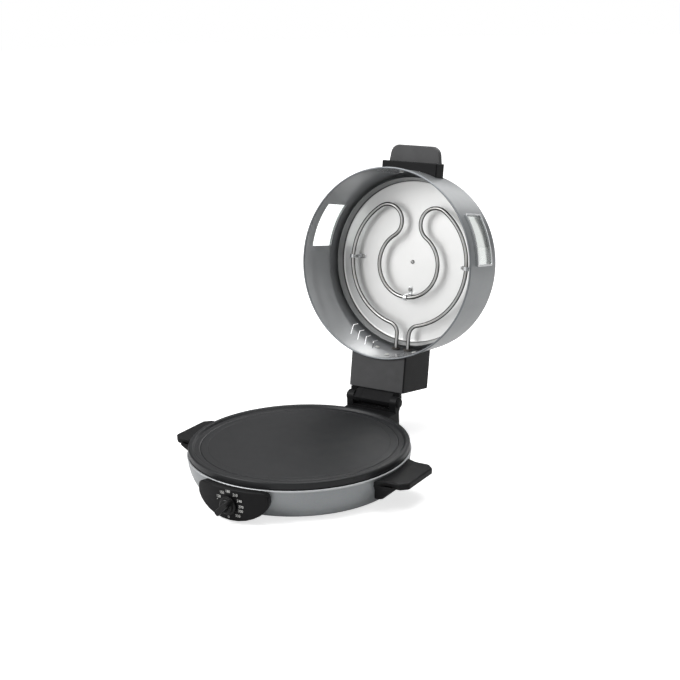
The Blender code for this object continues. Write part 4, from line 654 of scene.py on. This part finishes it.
def finish(name):
    """Each finish is made once and shared by the pieces that have it."""
    if name not in bpy.data.materials:
        made = bpy.data.materials.new(name)
        made.use_nodes = True
        tree = made.node_tree
        tree.nodes.clear()
        place = add(tree, "TexCoord")["Object"]
        if name in PLAIN_FINISHES:
            *values, extras = PLAIN_FINISHES[name]
            skin(tree, place, *values, **extras)
        else:
            OWN_FINISHES[name](tree, place)
    return bpy.data.materials[name]


# The base

class BREADMAKER_OT_bowl(bpy.types.Operator):
    """Press the bowl from sheet and roll its lip"""

    bl_idname = "bread_maker.bowl"
    bl_label = "Bowl"

    def execute(self, context):
        base = base_sizes()
        wall = base.lip_radius - EDGE_STEP
        sweep_x, sweep_z = wall - base.sweep, base.lip_height - 2 * base.bead
        fillet_z = base.bottom + base.fillet
        reach = math.sqrt((base.sweep - base.fillet) ** 2 - (sweep_z - fillet_z) ** 2)
        fillet_x = sweep_x + reach
        meeting = math.degrees(math.atan2(sweep_z - fillet_z, reach))
        bead_x, bead_z = base.lip_radius - base.bead, base.lip_height - base.bead
        start = (base.flange, base.bottom)
        moves = [
            (fillet_x, base.bottom),
            (fillet_x, fillet_z, 90 - meeting),
            (sweep_x, sweep_z, meeting),
            (bead_x + base.bead * math.cos(math.radians(-30)), bead_z - base.bead / 2),
            (bead_x, bead_z, 240),
            (wall - base.sheet, sweep_z),
            (sweep_x, sweep_z, -meeting),
            (fillet_x, fillet_z, meeting - 90),
            (base.flange, base.bottom + base.sheet),
        ]
        bm = turned(start, moves, closed=True, steps=12)
        # The rolled lip's faces take the pale silver of the painted highlight.
        for face in bm.faces:
            if face.calc_center_median().z > sweep_z - SEAT:
                face.material_index = 1
        make_piece("bowl", moved(bm, base_place()), "base", ["silver_lacquer_sprayed", "rolled_lip_burnished"],
                   ["base_shell"])
        return {"FINISHED"}


class BREADMAKER_OT_griddle(bpy.types.Operator):
    """Cast the baking plate with its raised rim, groove and skirt"""

    bl_idname = "bread_maker.griddle"
    bl_label = "Baking plate"

    def execute(self, context):
        base = base_sizes()
        edge = 0.0026
        under = base.cook_height - 0.005
        rest = base.lip_height + SEAT
        skirt = base.lip_radius - 2 * base.bead - 0.0004
        moves = [
            (base.groove - 0.012, base.cook_height),
            (base.groove - 0.0115, base.cook_height - 0.0003),
            (base.groove - 0.011, base.cook_height),
            (base.groove - 0.0015, base.cook_height),
            (base.groove, base.cook_height - 0.0008),
            (base.groove + 0.0015, base.cook_height),
            (base.seat_outer, base.cook_height),
            (base.rim_inner, base.plate_top - 0.0002),
            (base.rim_inner + 0.0008, base.plate_top),
            (base.plate_radius - edge, base.plate_top),
            (base.plate_radius - edge, base.plate_top - edge, -90),
            (base.plate_radius, rest + 0.0015),
            (base.plate_radius - 0.0008, rest),
            (skirt, rest),
            (skirt, base.lip_height - 0.006),
            (skirt - 0.003, base.lip_height - 0.006),
            (skirt - 0.003, under),
            (0, under),
        ]
        bm = turned((0, base.cook_height), moves, sides=256, steps=8)
        soften(bm, 0.0005, sharper=12, shorter=0.01)
        boss_radius, boss_circle, boss_height, rooted = 0.005, 0.062, 0.0067, 0.002
        bosses = [
            moved(rod(boss_radius, under - boss_height, under + rooted, 24),
                  around(boss_circle, FULL * i / 3 - math.pi / 2))
            for i in range(3)
        ]
        bm = moved(put_together([bm, *bosses]), base_place())
        make_piece("griddle", bm, "base", "nonstick_coating_sprayed", ["baking_plate"], smooth=25)
        return {"FINISHED"}


class BREADMAKER_OT_side_handles(bpy.types.Operator):
    """Mould the two shelf handles and the gussets under them"""

    bl_idname = "bread_maker.side_handles"
    bl_label = "Side handles"

    def execute(self, context):
        for side in ("left", "right"):
            make_piece(f"handle_{side}", softened(f"side_handle_{side}", 0.0005), "base", "black_phenolic_moulded",
                       [f"side_handle_{side}"], smooth=50)
        return {"FINISHED"}


class BREADMAKER_OT_panel(bpy.types.Operator):
    """Mould the control panel that wraps round the front of the bowl"""

    bl_idname = "bread_maker.panel"
    bl_label = "Control panel"

    def execute(self, context):
        make_piece("fascia", softened("control_panel"), "base", "black_phenolic_moulded", ["control_panel"],
                   smooth=50)
        return {"FINISHED"}


def flat_text(words, size):
    """Plain lettering as a mesh, centred on the origin."""
    curve = bpy.data.curves.new("lettering", "FONT")
    curve.body, curve.size, curve.extrude = words, size, INK
    curve.align_x = curve.align_y = "CENTER"
    obj = linked("lettering", curve)
    bm = bmesh.new()
    mesh = bpy.data.meshes.new_from_object(obj.evaluated_get(bpy.context.evaluated_depsgraph_get()))
    bm.from_mesh(mesh)
    bpy.data.meshes.remove(mesh)
    bpy.data.objects.remove(obj)
    bpy.data.curves.remove(curve)
    return bm


class BREADMAKER_OT_dial(bpy.types.Operator):
    """Mould the knob and print the numbers round it"""

    bl_idname = "bread_maker.dial"
    bl_label = "Knob and numbers"

    def execute(self, context):
        dial = dial_sizes()
        skirt, body, dish = 0.004, 0.0105, 0.009
        moves = [(body - 0.0015, dish - 0.0004), (body, dish - 0.0014), (body, skirt + 0.0004),
                 (body + 0.0006, skirt), (dial.knob_radius, skirt - 0.0006), (dial.knob_radius, 0), (0, 0)]
        bm = turned((0, dish - 0.0008), moves, sides=96)
        soften(bm, 0.0004, sharper=20, shorter=0.003)
        half, wide = dial.grip_length / 2, dial.grip_width / 2
        bar = plate([(-half, -wide), (half, -wide), (half, wide), (-half, wide)], skirt / 2, dial.knob_depth,
                    wide * 0.7)
        soften(bar, 0.0012, sharper=40, segments=4, keep=lambda e: min(v.co.z for v in e.verts) > dish)
        knob = combined(bm, bar, "UNION")
        knob = combined(knob, rod(0.0033, -0.001, 0.008, 32), "DIFFERENCE")
        stand = Matrix.Translation(KNOB) @ facing_front() @ Matrix.Rotation(dial.off_turn, 4, "Z")
        make_piece("dial_knob", moved(knob, stand), "knob", "black_knob_moulded", ["control_knob"], smooth=40)
        self.print_numbers(dial)
        return {"FINISHED"}

    def print_numbers(self, dial):
        """Plain numbers on the panel's curved face, each upright, a dot at the off mark and a ring below."""
        dot, dot_circle, inner, outer, ring_circle = 0.0006, 0.0205, 0.0012, 0.0016, 0.0178
        ring = turned((inner, -INK), [(outer, -INK), (outer, INK), (inner, INK)], sides=32, closed=True)
        bm = put_together([
            *(moved(flat_text(str(dial.first_number + i * dial.number_step), dial.number_height),
                    around(dial.number_circle, math.radians(angle)))
              for i, angle in enumerate(NUMBER_ANGLES)),
            moved(rod(dot, -INK, INK, 16), around(dot_circle, math.radians(166))),
            moved(ring, around(ring_circle, math.radians(-93))),
        ])
        radius = base_sizes().face_radius + INK
        for vert in bm.verts:
            across, up, lift = vert.co
            angle, out = across / radius, radius + lift
            vert.co = (out * math.sin(angle), CENTRE.y - out * math.cos(angle), KNOB.z + up)
        make_piece("dial_numbers", bm, "base", "white_ink_printed", weighted=False)


class BREADMAKER_OT_bracket(bpy.types.Operator):
    """Mould the rear bracket and fit its pin, caps and the cord's gland"""

    bl_idname = "bread_maker.bracket"
    bl_label = "Hinge bracket"

    def execute(self, context):
        # A rib under the pin keeps crumbs out of the gap between the ears; the lid's barrel turns clear of it.
        half, foot = 0.0338, 0.0458
        rib = block((-half, HINGE.y - 0.0095, foot), (half, HINGE.y + 0.0022, HINGE.z - 0.0105))
        bm = soften(combined(copied("hinge_post"), rib, "UNION"), 0.0006, sharper=25)
        make_piece("bracket", bm, "base", "black_phenolic_moulded", ["hinge_post"], smooth=50)
        for side, name in ((-1, "left"), (1, "right")):
            back = 0.0453
            moves = [(0.0085, back), (0.0085, back + 0.0012), (0.0062, back + 0.003), (0, back + 0.0036)]
            cap = soften(turned((0, back), moves, sides=48), 0.0005, sharper=15, shorter=0.002)
            moved(cap, along_x(HINGE.y, HINGE.z, side))
            make_piece(f"cap_{name}", cap, "base", "black_phenolic_moulded", [f"hinge_cap_{name}"])
        radius, half = 0.004, 0.0447
        pin = moved(soften(rod(radius, -half, half, 48), 0.0004, segments=3), along_x(HINGE.y, HINGE.z))
        make_piece("pin", pin, "base", "spring_steel_stamped", ["hinge_pin"])
        give("black_rubber_moulded", "cord_gland")
        return {"FINISHED"}


class BREADMAKER_OT_underside(bpy.types.Operator):
    """Fit the vented cover and the rubber feet"""

    bl_idname = "bread_maker.underside"
    bl_label = "Cover and feet"

    def execute(self, context):
        bm = copied("bottom_cover")
        make_piece("vented_cover", bm, "base", "galvanised_sheet_dipped", ["bottom_cover"], weighted=False)
        give("galvanised_sheet_dipped", "bottom_cover")
        for node in ("foot_front_left", "foot_front_right", "foot_rear_left", "foot_rear_right", "foot_post"):
            self.make_foot(node)
        return {"FINISHED"}

    def make_foot(self, node):
        low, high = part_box(node)
        radius = base_sizes().foot_radius
        head, stem, barb = high.z, 0.0036, 0.005
        seat = min(head - 0.0029, 0.0039) if node == "foot_post" else 0.0039
        neck = head - 0.002
        moves = [(0.005, 0.0008), (0.0055, 0), (radius - 0.001, 0), (radius, 0.001), (radius, seat), (stem, seat),
                 (stem, neck), (barb, neck), (stem, head), (0, head)]
        bm = turned((0, 0.0008), moves, sides=64)
        moved(bm, Matrix.Translation(((low.x + high.x) / 2, (low.y + high.y) / 2, 0)))
        make_piece(f"rubber_{node}", bm, "base", "black_rubber_moulded", [node])


class BREADMAKER_OT_works(bpy.types.Operator):
    """Finish the heating works that lie hidden in the base"""

    bl_idname = "bread_maker.works"
    bl_label = "Heating works"

    def execute(self, context):
        give("heater_steel_drawn", "lower_element")
        give("spring_steel_stamped", "element_clamp_1", "element_clamp_2", "element_clamp_3")
        give("steatite_ceramic_fired", "terminal_block")
        give("bright_aluminium_rolled", "lower_reflector")
        give("zinc_die_cast", "thermostat_body")
        give("zinc_plated_steel_turned", "thermostat_shaft")
        return {"FINISHED"}


# The lid

class BREADMAKER_OT_drum(bpy.types.Operator):
    """Draw the drum from sheet, roll its rim and punch its windows and steam slots"""

    bl_idname = "bread_maker.drum"
    bl_label = "Drum"

    def execute(self, context):
        base, lid = base_sizes(), lid_sizes()
        bead = base.bead
        top = lid.rim_radius - EDGE_STEP
        near = 2 * bead
        shoulder_x, shoulder_z = lid.back_radius - lid.shoulder, lid.depth - lid.shoulder
        bead_x = lid.rim_radius - bead
        crown = lid.depth + lid.crown
        moves = [
            (shoulder_x * 0.5, crown - 0.0004),
            (shoulder_x, lid.depth),
            (shoulder_x, shoulder_z, -90),
            (top, near),
            (bead_x + bead * math.cos(math.radians(30)), bead * 1.5),
            (bead_x, bead, -240),
            (top - lid.sheet, near),
            (lid.back_radius - lid.sheet, shoulder_z),
            (shoulder_x, shoulder_z, 90),
            (shoulder_x * 0.5, crown - 0.0004 - lid.sheet),
            (0, crown - lid.sheet),
        ]
        bm = turned((0, crown), moves, sides=256, steps=8)
        inward, deep = -0.3, 0.05  # how far a face of the inside turns in, and a depth well below the rim
        for face in bm.faces:
            middle = face.calc_center_median()
            radial = Vector((middle.x, middle.y, 0)).normalized()
            if middle.z < near + 0.0002:
                face.material_index = 2
            elif face.normal.dot(radial) < inward or (face.normal.z < inward and middle.z > deep):
                face.material_index = 1
        cuts = [self.window_cut(side) for side in (-1, 1)] + self.slot_cuts()
        bm = combined(bm, put_together(cuts), "DIFFERENCE")
        moved(bm, drum_place())
        finishes = ["silver_lacquer_sprayed", "grey_lining_baked", "rolled_edge_polished"]
        make_piece("drum", bm, "lid", finishes, ["lid_shell"], weighted=False)
        return {"FINISHED"}

    def window_cut(self, side):
        lid = lid_sizes()
        half = lid.window_width / 2
        bm = block((-half, lid.window_near, -0.006), (half, lid.window_far, 0.006))
        soften(bm, 0.0015, segments=3, keep=lambda e: abs(e.verts[0].co.z - e.verts[1].co.z) > 0.005)
        sliced(bm, X_AXIS, [half * i / 8 for i in range(-7, 8)])
        return wrap_on_drum(bm, window_centre(side))

    def slot_cuts(self):
        """Bent slots beside the hinge housing: a long slanted leg towards the rim and a short arm."""
        lid = lid_sizes()
        cuts = []
        for side in (-1, 1):
            for i in range(4):
                along = lid.slot_nearest + i * lid.slot_pitch
                angle = side * along / lid.back_radius - math.pi / 2
                tip, end, wide = Vector((0.030, side * 0.018)), Vector((-0.015, 0)), 0.0006
                across = Vector((-tip.y, tip.x)).normalized() * wide
                square = Vector((0, wide))
                bend = (across + square) / (1 + across.dot(square) / square.dot(square))
                corners = [tip + across, bend, end + square, end - square, -bend, tip - across]
                rounding = [wide * 0.9, 0.002, wide * 0.9] * 2
                slot = plate([tuple(c) for c in corners], -0.008, 0.008, rounding, 4)
                cuts.append(moved(slot, out_of_drum(angle, lid.slot_bend)))
        return cuts


def window_centre(side):
    tilt = lid_sizes().window_turn
    return tilt if side > 0 else math.pi - tilt


class BREADMAKER_OT_windows(bpy.types.Operator):
    """Fit a curved pane and its stamped frame to each side of the drum"""

    bl_idname = "bread_maker.windows"
    bl_label = "Windows"

    def execute(self, context):
        for name, side in (("left", -1), ("right", 1)):
            for form, piece, material, node, smooth in (
                (self.flat_frame(), "trim", "bright_trim_stamped", "frame", 40),
                (self.flat_pane(), "pane", "clear_glass_sagged", "glass", 25),
            ):
                bent = moved(wrap_on_drum(form, window_centre(side)), drum_place())
                make_piece(f"window_{piece}_{name}", bent, "lid", material, [f"window_{node}_{name}"], smooth)
        return {"FINISHED"}

    def grown(self, border, low, high, radius):
        """The window's rectangle grown by a border and given thickness, with rounded corners."""
        lid = lid_sizes()
        half, near, far = lid.window_width / 2 + border, lid.window_near - border, lid.window_far + border
        return plate([(-half, near), (half, near), (half, far), (-half, far)], low, high, radius)

    def ring(self, border, low, high):
        hole = self.grown(border, low - 0.002, high + 0.002, 0.0012)
        return combined(self.grown(0.003, low, high, 0.003), hole, "DIFFERENCE")

    def flat_frame(self):
        """A frame that rests on the drum round the pane, with a lip over the pane's edge."""
        lip = PANE_TOP + SEAT
        bm = combined(self.ring(0.0018, PANE_SEAT, lip + 0.0001), self.ring(0, lip, lip + 0.0012), "UNION")
        soften(bm, 0.0005, sharper=50, segments=3, keep=lambda e: min(v.co.z for v in e.verts) > lip + 0.0005)
        half = lid_sizes().window_width / 2
        return sliced(bm, X_AXIS, [half * i / 10 for i in range(-11, 12)])

    def flat_pane(self):
        lid = lid_sizes()
        half = lid.window_width / 2 + 0.0015
        bm = block((-half, lid.window_near - 0.0015, PANE_SEAT), (half, lid.window_far + 0.0015, PANE_TOP))
        return sliced(soften(bm, 0.0003), X_AXIS, [half * i / 10 for i in range(-9, 10)])


class BREADMAKER_OT_reflector(bpy.types.Operator):
    """Press the bright reflector pan behind the element"""

    bl_idname = "bread_maker.reflector"
    bl_label = "Reflector"

    def execute(self, context):
        lid = lid_sizes()
        sheet, slant, brim, bend = 0.0006, 0.0052, 0.0012, 0.0012
        flat, lip = lid.reflector_flat, lid.reflector_flat + slant
        low, top = lid.reflector_depth, lid.element_depth + lid.tube + 0.0006
        moves = [(flat - bend, low), (flat + bend * slant / (low - top), low - bend), (lip, top + 0.0006),
                 (lip + 0.0003, top), (lip + brim - 0.0002, top), (lip + brim, top + 0.0002),
                 (lip + brim, top + sheet), (lip + sheet, top + sheet), (flat + sheet, low),
                 (flat - 0.0008, low + sheet), (0, low + sheet)]
        bm = turned((0, low), moves, sides=256)
        soften(bm, 0.0005, sharper=20, segments=3, shorter=0.004, keep=lambda e: e.verts[0].co.z > top + sheet)
        # The drawn side and its brim take the flange finish: a darker grey painted as shade.
        for face in bm.faces:
            middle = face.calc_center_median()
            if math.hypot(middle.x, middle.y) > flat - 0.0003:
                face.material_index = 1
        make_piece("reflector_pan", moved(bm, drum_place()), "lid",
                   ["bright_aluminium_rolled", "aluminium_flange_drawn"], ["reflector"])
        return {"FINISHED"}


def omega_centres():
    """The inner loop's radius and its middle's drop, and the horn's turn and middle."""
    lid = lid_sizes()
    horn, inner, horn_turn = lid.omega * 0.258, lid.omega * 0.5143, math.radians(55.3)
    horn_at = Matrix.Rotation(-horn_turn, 3, "Z") @ Vector((lid.omega - horn, 0, 0))
    return inner, math.sqrt((inner + horn) ** 2 - horn_at.x**2) + horn_at.y, horn_turn, horn_at


class BREADMAKER_OT_element(bpy.types.Operator):
    """Bend the heating tube to its horned omega and seat its legs in ceramic bushes"""

    bl_idname = "bread_maker.element"
    bl_label = "Heating element"

    def execute(self, context):
        lid = lid_sizes()
        corner, leg_end = 0.018, lid.back_radius + 0.0218
        corner_x = lid.legs + corner
        corner_y = math.sqrt((lid.omega + corner) ** 2 - corner_x**2)
        meeting = math.atan2(corner_y, corner_x)
        _, drop, horn_turn, horn_at = omega_centres()
        inner_start = math.atan2(drop - horn_at.y, horn_at.x)
        bm = bmesh.new()
        place = Matrix.Translation((lid.legs, leg_end, 0)) @ facing_front()
        ring = bmesh.ops.create_circle(bm, segments=24, radius=lid.tube, matrix=place)["verts"]
        edges = list({e for v in ring for e in v.link_edges})
        bmesh.ops.contextual_create(bm, geom=edges)
        grown = bmesh.ops.extrude_edge_only(bm, edges=edges)["geom"]
        verts = only(BMVert, grown)
        bmesh.ops.translate(bm, verts=verts, vec=(0, corner_y - leg_end, 0))
        edges = [e for e in only(BMEdge, grown) if all(v in verts for v in e.verts)]
        bends = (
            ((corner_x, corner_y, 0), meeting),
            ((0, 0, 0), -(meeting + horn_turn)),
            (horn_at, -(math.pi + inner_start - horn_turn)),
            ((0, drop, 0), inner_start + math.pi / 2),
        )
        for centre, angle in bends:
            steps = math.ceil(abs(angle) / math.radians(4))
            made = bmesh.ops.spin(bm, geom=edges, cent=centre, axis=Z_AXIS, angle=angle, steps=steps)
            edges = only(BMEdge, made["geom_last"])
        bmesh.ops.mirror(bm, geom=bm.verts[:] + bm.edges[:] + bm.faces[:], matrix=Matrix(), merge_dist=0, axis="X")
        bmesh.ops.remove_doubles(bm, verts=bm.verts, dist=2e-5)
        moved(outward(bm), drum_place() @ Matrix.Translation((0, 0, lid.element_depth)))
        make_piece("omega_tube", bm, "lid", "heater_steel_drawn", ["upper_element"], smooth=60, weighted=False)
        for side in ("left", "right"):
            make_piece(f"bush_{side}", softened(f"leg_bushing_{side}", 0.0003, 40), "lid",
                       "steatite_ceramic_browned", [f"leg_bushing_{side}"])
        return {"FINISHED"}


def screw_head(radius, height):
    """A pan head with a cross recess; its seat is at Z = 0 and it stands up towards +Z."""
    moves = [(radius, 0), (radius, height * 0.35), (radius * 0.55, height), (0, height * 1.02)]
    head = soften(turned((0, 0), moves, sides=32), radius * 0.12, sharper=25, shorter=radius * 0.3)
    arm, wide = radius * 0.62, radius * 0.14
    cross = combined(*(block((-x, -y, height * 0.45), (x, y, height * 2)) for x, y in ((arm, wide), (wide, arm))),
                     "UNION")
    return combined(head, cross, "DIFFERENCE")


class BREADMAKER_OT_fastenings(bpy.types.Operator):
    """Fit the element's straps and every screw that shows inside the drum"""

    bl_idname = "bread_maker.fastenings"
    bl_label = "Straps and screws"

    def execute(self, context):
        lid = lid_sizes()
        inner, drop, *_ = omega_centres()
        side = lid.omega - STRAP_REACH
        places = (
            ("reflector_screw", "", 0, 0, None),
            ("clip_screw_left", "left", -side, 0, math.pi),
            ("clip_screw_right", "right", side, 0, 0),
            ("clip_screw_front", "front", 0, drop + inner - STRAP_REACH, math.pi / 2),
        )
        for node, clip, x, y, facing in places:
            seat = lid.reflector_depth - SEAT
            spot = drum_place() @ Matrix.Translation((x, y, 0))
            if clip:
                strap = moved(self.strap(), spot @ Matrix.Rotation(facing, 4, "Z"))
                make_piece(f"strap_{clip}", strap, "lid", "bright_trim_stamped", [f"element_clip_{clip}"], smooth=40)
                seat -= 0.0012
            flip = Matrix.Translation((0, 0, seat)) @ Matrix.Rotation(math.pi, 4, "X")
            make_piece(f"pan_{node}", moved(screw_head(0.0033, 0.0022), spot @ flip), "lid",
                       "zinc_plated_steel_turned", [node], smooth=40)
        self.wall_screws()
        return {"FINISHED"}

    def strap(self):
        """A strip bent from its foot on the reflector up and over the tube, facing +X."""
        lid = lid_sizes()
        thick, half, bend = 0.0009, 0.003, 0.0012
        foot = lid.reflector_depth - SEAT - thick / 2
        riser = STRAP_REACH - (lid.tube + 0.0007 + thick / 2)
        bm = bmesh.new()
        trace(bm, (-0.0045, foot), [(riser - bend, foot), (riser - bend, foot - bend, -90),
                                    (riser, lid.element_depth), (STRAP_REACH, lid.element_depth, 180)], steps=16)
        bmesh.ops.translate(bm, verts=bm.verts, vec=(0, -half, 0))
        grown = bmesh.ops.extrude_edge_only(bm, edges=bm.edges[:])["geom"]
        bmesh.ops.translate(bm, verts=only(BMVert, grown), vec=(0, 2 * half, 0))
        bmesh.ops.recalc_face_normals(bm, faces=bm.faces)
        bmesh.ops.solidify(bm, geom=bm.faces[:], thickness=thick)
        return soften(outward(bm), 0.0002, sharper=50)

    def wall_screws(self):
        back, handle = -math.pi / 2, math.pi / 2
        rear_depth, front_depth, handle_depth = 0.060, 0.0335, 0.0715
        apart, beside = math.radians(13.5), 0.020 / drum_wall(handle_depth)
        inward = Matrix.Translation((0, 0, -lid_sizes().sheet - 2 * SEAT)) @ Matrix.Rotation(math.pi, 4, "X")
        for node, angle, depth in (
            ("housing_screw_left", back - apart, rear_depth),
            ("housing_screw_right", back + apart, rear_depth),
            ("housing_screw_front", back, front_depth),
            ("handle_screw_left", handle + beside, handle_depth),
            ("handle_screw_right", handle - beside, handle_depth),
        ):
            head = moved(screw_head(0.0038, 0.0018), drum_place() @ out_of_drum(angle, depth) @ inward)
            make_piece(f"wall_{node}", head, "lid", "white_zinc_plated", [node], smooth=40)


class BREADMAKER_OT_lid_grip(bpy.types.Operator):
    """Mould the lid's handle: a block on the wall with an upright grip"""

    bl_idname = "bread_maker.lid_grip"
    bl_label = "Lid handle"

    def execute(self, context):
        bm = softened("lid_handle")
        flat, grip_from = drum_place().inverted(), -lid_sizes().back_radius - 0.0165
        # The upright grip takes the lighter grey as painted light; the block on the wall keeps the black.
        for face in bm.faces:
            face.material_index = int((flat @ face.calc_center_median()).y < grip_from)
        make_piece("grip", bm, "lid", ["black_phenolic_moulded", "grey_phenolic_moulded"], ["lid_handle"], smooth=50)
        return {"FINISHED"}


class BREADMAKER_OT_housing(bpy.types.Operator):
    """Mould the housing that joins the drum to the hinge"""

    bl_idname = "bread_maker.housing"
    bl_label = "Hinge housing"

    def execute(self, context):
        bm = soften(combined(copied("hinge_housing"), self.web(), "UNION"), 0.0006, sharper=25)
        # Faces that look ahead, short of the neck, take the lighter grey as painted light; the sides and the web
        # beyond the neck keep the black.
        flat, neck, sideways = drum_place().inverted(), HINGE_OUT - 0.0148, 0.6
        for face in bm.faces:
            beyond = (flat @ face.calc_center_median()).y > neck
            face.material_index = int(beyond or abs(face.normal.x) > sideways)
        make_piece("housing", bm, "lid", ["grey_phenolic_moulded", "black_phenolic_moulded"], ["hinge_housing"],
                   smooth=50)
        return {"FINISHED"}

    def web(self):
        """The barrel and its web between the two knuckles, a little slimmer than they are, bored for the pin."""
        pin_z = HINGE.z - base_sizes().cook_height - SEAT
        end, barrel = HINGE_OUT - 0.015, 0.0094
        half, low, high, sunk = 0.0224, 0.0066, 0.0174, 0.0012
        angles = [math.radians(a) for a in range(-90, 91, 15)]
        corners = [(HINGE_OUT + barrel * math.cos(a), pin_z + barrel * math.sin(a)) for a in angles]
        corners += [(end, high), (end - sunk, high), (end - sunk, low), (end, low)]
        upright = Matrix(((0, 0, 1, 0), (1, 0, 0, 0), (0, 1, 0, 0), (0, 0, 0, 1)))
        bm = moved(plate(corners, -half, half), drum_place() @ upright)
        bore = moved(rod(0.0044, -0.03, 0.03, 48), along_x(HINGE.y, HINGE.z))
        return combined(bm, bore, "DIFFERENCE")


# The studio

class BREADMAKER_OT_studio(bpy.types.Operator):
    """Set the pale floor, the soft lamps and the camera"""

    bl_idname = "bread_maker.studio"
    bl_label = "Studio"

    def execute(self, context):
        self.lay_floor()
        self.light_world(context.scene)
        for name, place, size, power in (
            ("key_softbox", (-1.6, -2.1, 2.2), 1.8, 66),
            ("rear_softbox", (-0.9, 1.5, 1.9), 1.2, 8),
            ("top_softbox", (0.4, 0.2, 2.4), 1.5, 26),
        ):
            lamp = bpy.data.lights.new(name, "AREA")
            lamp.shape, lamp.size, lamp.energy = "SQUARE", size, power
            obj = linked(name, lamp)
            obj.location = place
            obj.rotation_euler = (LAMP_TARGET - Vector(place)).to_track_quat("-Z", "Y").to_euler()
        self.place_camera(context.scene)
        context.scene.view_settings.view_transform = "Standard"
        return {"FINISHED"}

    def lay_floor(self):
        bm = bmesh.new()
        bmesh.ops.create_circle(bm, cap_ends=True, segments=96, radius=9.0)
        mesh = as_mesh("studio_floor", bm)
        mesh.materials.append(finish("studio_floor_painted"))
        linked("studio_floor", mesh)

    def light_world(self, scene):
        world = bpy.data.worlds.new("studio_air")
        scene.world = world
        world.use_nodes = True
        tree = world.node_tree
        tree.nodes.clear()
        rays, seen = seen_rays(tree)
        # Mirror rays find a bright wall in front on the left, a bright sky and a panel behind, over a dimmer studio.
        way = add(tree, "TexCoord")["Generated"]
        mirrored = 0.0
        for facing, start, full, dim, bright in (
            ((-0.51, -0.86, 0.05), 0.25, 0.8, 0.14, 1.0),
            ((0.25, 0, 1), 0.15, 0.7, 0.0, 0.9),
            ((-0.1, 0.93, 0.36), 0.94, 0.99, 0.0, 2.0),
        ):
            toward = add(tree, "VectorMath", {0: way, 1: facing}, operation="DOT_PRODUCT")
            glow = add(tree, "MapRange", {"Value": toward["Value"], "From Min": start, "From Max": full,
                                          "To Min": dim, "To Max": bright}, interpolation_type="SMOOTHSTEP")
            mirrored = add(tree, "Math", {0: mirrored, 1: glow["Result"]}, operation="MAXIMUM")[0]
        other = add(tree, "Mix", {0: rays["Is Glossy Ray"], 2: 0.26, 3: mirrored})
        level = add(tree, "Mix", {0: seen, 2: other[0], 3: 1.0})
        air = add(tree, "Background", {"Color": (1, 1, 1, 1), "Strength": level[0]})
        add(tree, "OutputWorld", {"Surface": air[0]})

    def place_camera(self, scene):
        camera = bpy.data.cameras.new("photo_camera")
        sensor, focal, wide = 36, 1350, 680  # millimetres, and the photograph's focal length and width in pixels
        camera.sensor_width, camera.lens, camera.clip_end = sensor, sensor * focal / wide, 100
        yaw, pitch, roll = (math.radians(angle) for angle in (32.28, 16.55, -1.37))
        ahead = Vector((-math.sin(yaw) * math.cos(pitch), math.cos(yaw) * math.cos(pitch), -math.sin(pitch)))
        right = Vector((math.cos(yaw), math.sin(yaw), 0))
        up = right.cross(ahead)
        side = right * math.cos(roll) + up * math.sin(roll)
        above = up * math.cos(roll) - right * math.sin(roll)
        scene.camera = linked("photo_camera", camera)
        scene.camera.matrix_world = (
            Matrix.Translation(CENTRE + Vector((1.0482, -1.5404, 0.7674)))
            @ Matrix((side, above, -ahead)).transposed().to_4x4()
        )


class BREADMAKER_PT_panel(bpy.types.Panel):
    """Lists the steps that build the bread maker"""

    bl_idname = "BREADMAKER_PT_panel"
    bl_label = "Bread maker"
    bl_space_type = "VIEW_3D"
    bl_region_type = "UI"
    bl_category = "Bread maker"

    def draw(self, context):
        for step in STEPS:
            self.layout.operator(step.bl_idname)


STEPS = (
    BREADMAKER_OT_bowl,
    BREADMAKER_OT_griddle,
    BREADMAKER_OT_side_handles,
    BREADMAKER_OT_panel,
    BREADMAKER_OT_dial,
    BREADMAKER_OT_bracket,
    BREADMAKER_OT_underside,
    BREADMAKER_OT_works,
    BREADMAKER_OT_drum,
    BREADMAKER_OT_windows,
    BREADMAKER_OT_reflector,
    BREADMAKER_OT_element,
    BREADMAKER_OT_fastenings,
    BREADMAKER_OT_lid_grip,
    BREADMAKER_OT_housing,
    BREADMAKER_OT_studio,
)
GROUPS = {"bread_base": BaseSizes, "bread_dial": DialSizes, "bread_lid": LidSizes, "bread_colours": Colours}


def register():
    for group in GROUPS.values():
        bpy.utils.register_class(group)
    for name, group in GROUPS.items():
        setattr(bpy.types.Scene, name, PointerProperty(type=group))
    for step in STEPS:
        bpy.utils.register_class(step)
    bpy.utils.register_class(BREADMAKER_PT_panel)


def unregister():
    bpy.utils.unregister_class(BREADMAKER_PT_panel)
    for step in reversed(STEPS):
        bpy.utils.unregister_class(step)
    for name, group in GROUPS.items():
        delattr(bpy.types.Scene, name)
        bpy.utils.unregister_class(group)


def main():
    register()
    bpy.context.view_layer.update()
    for obj in list(bpy.data.objects):
        if obj.type in ("LIGHT", "CAMERA"):
            bpy.data.objects.remove(obj)
    for step in STEPS:
        family, name = step.bl_idname.split(".")
        getattr(getattr(bpy.ops, family), name)()


if __name__ == "__main__":
    main()
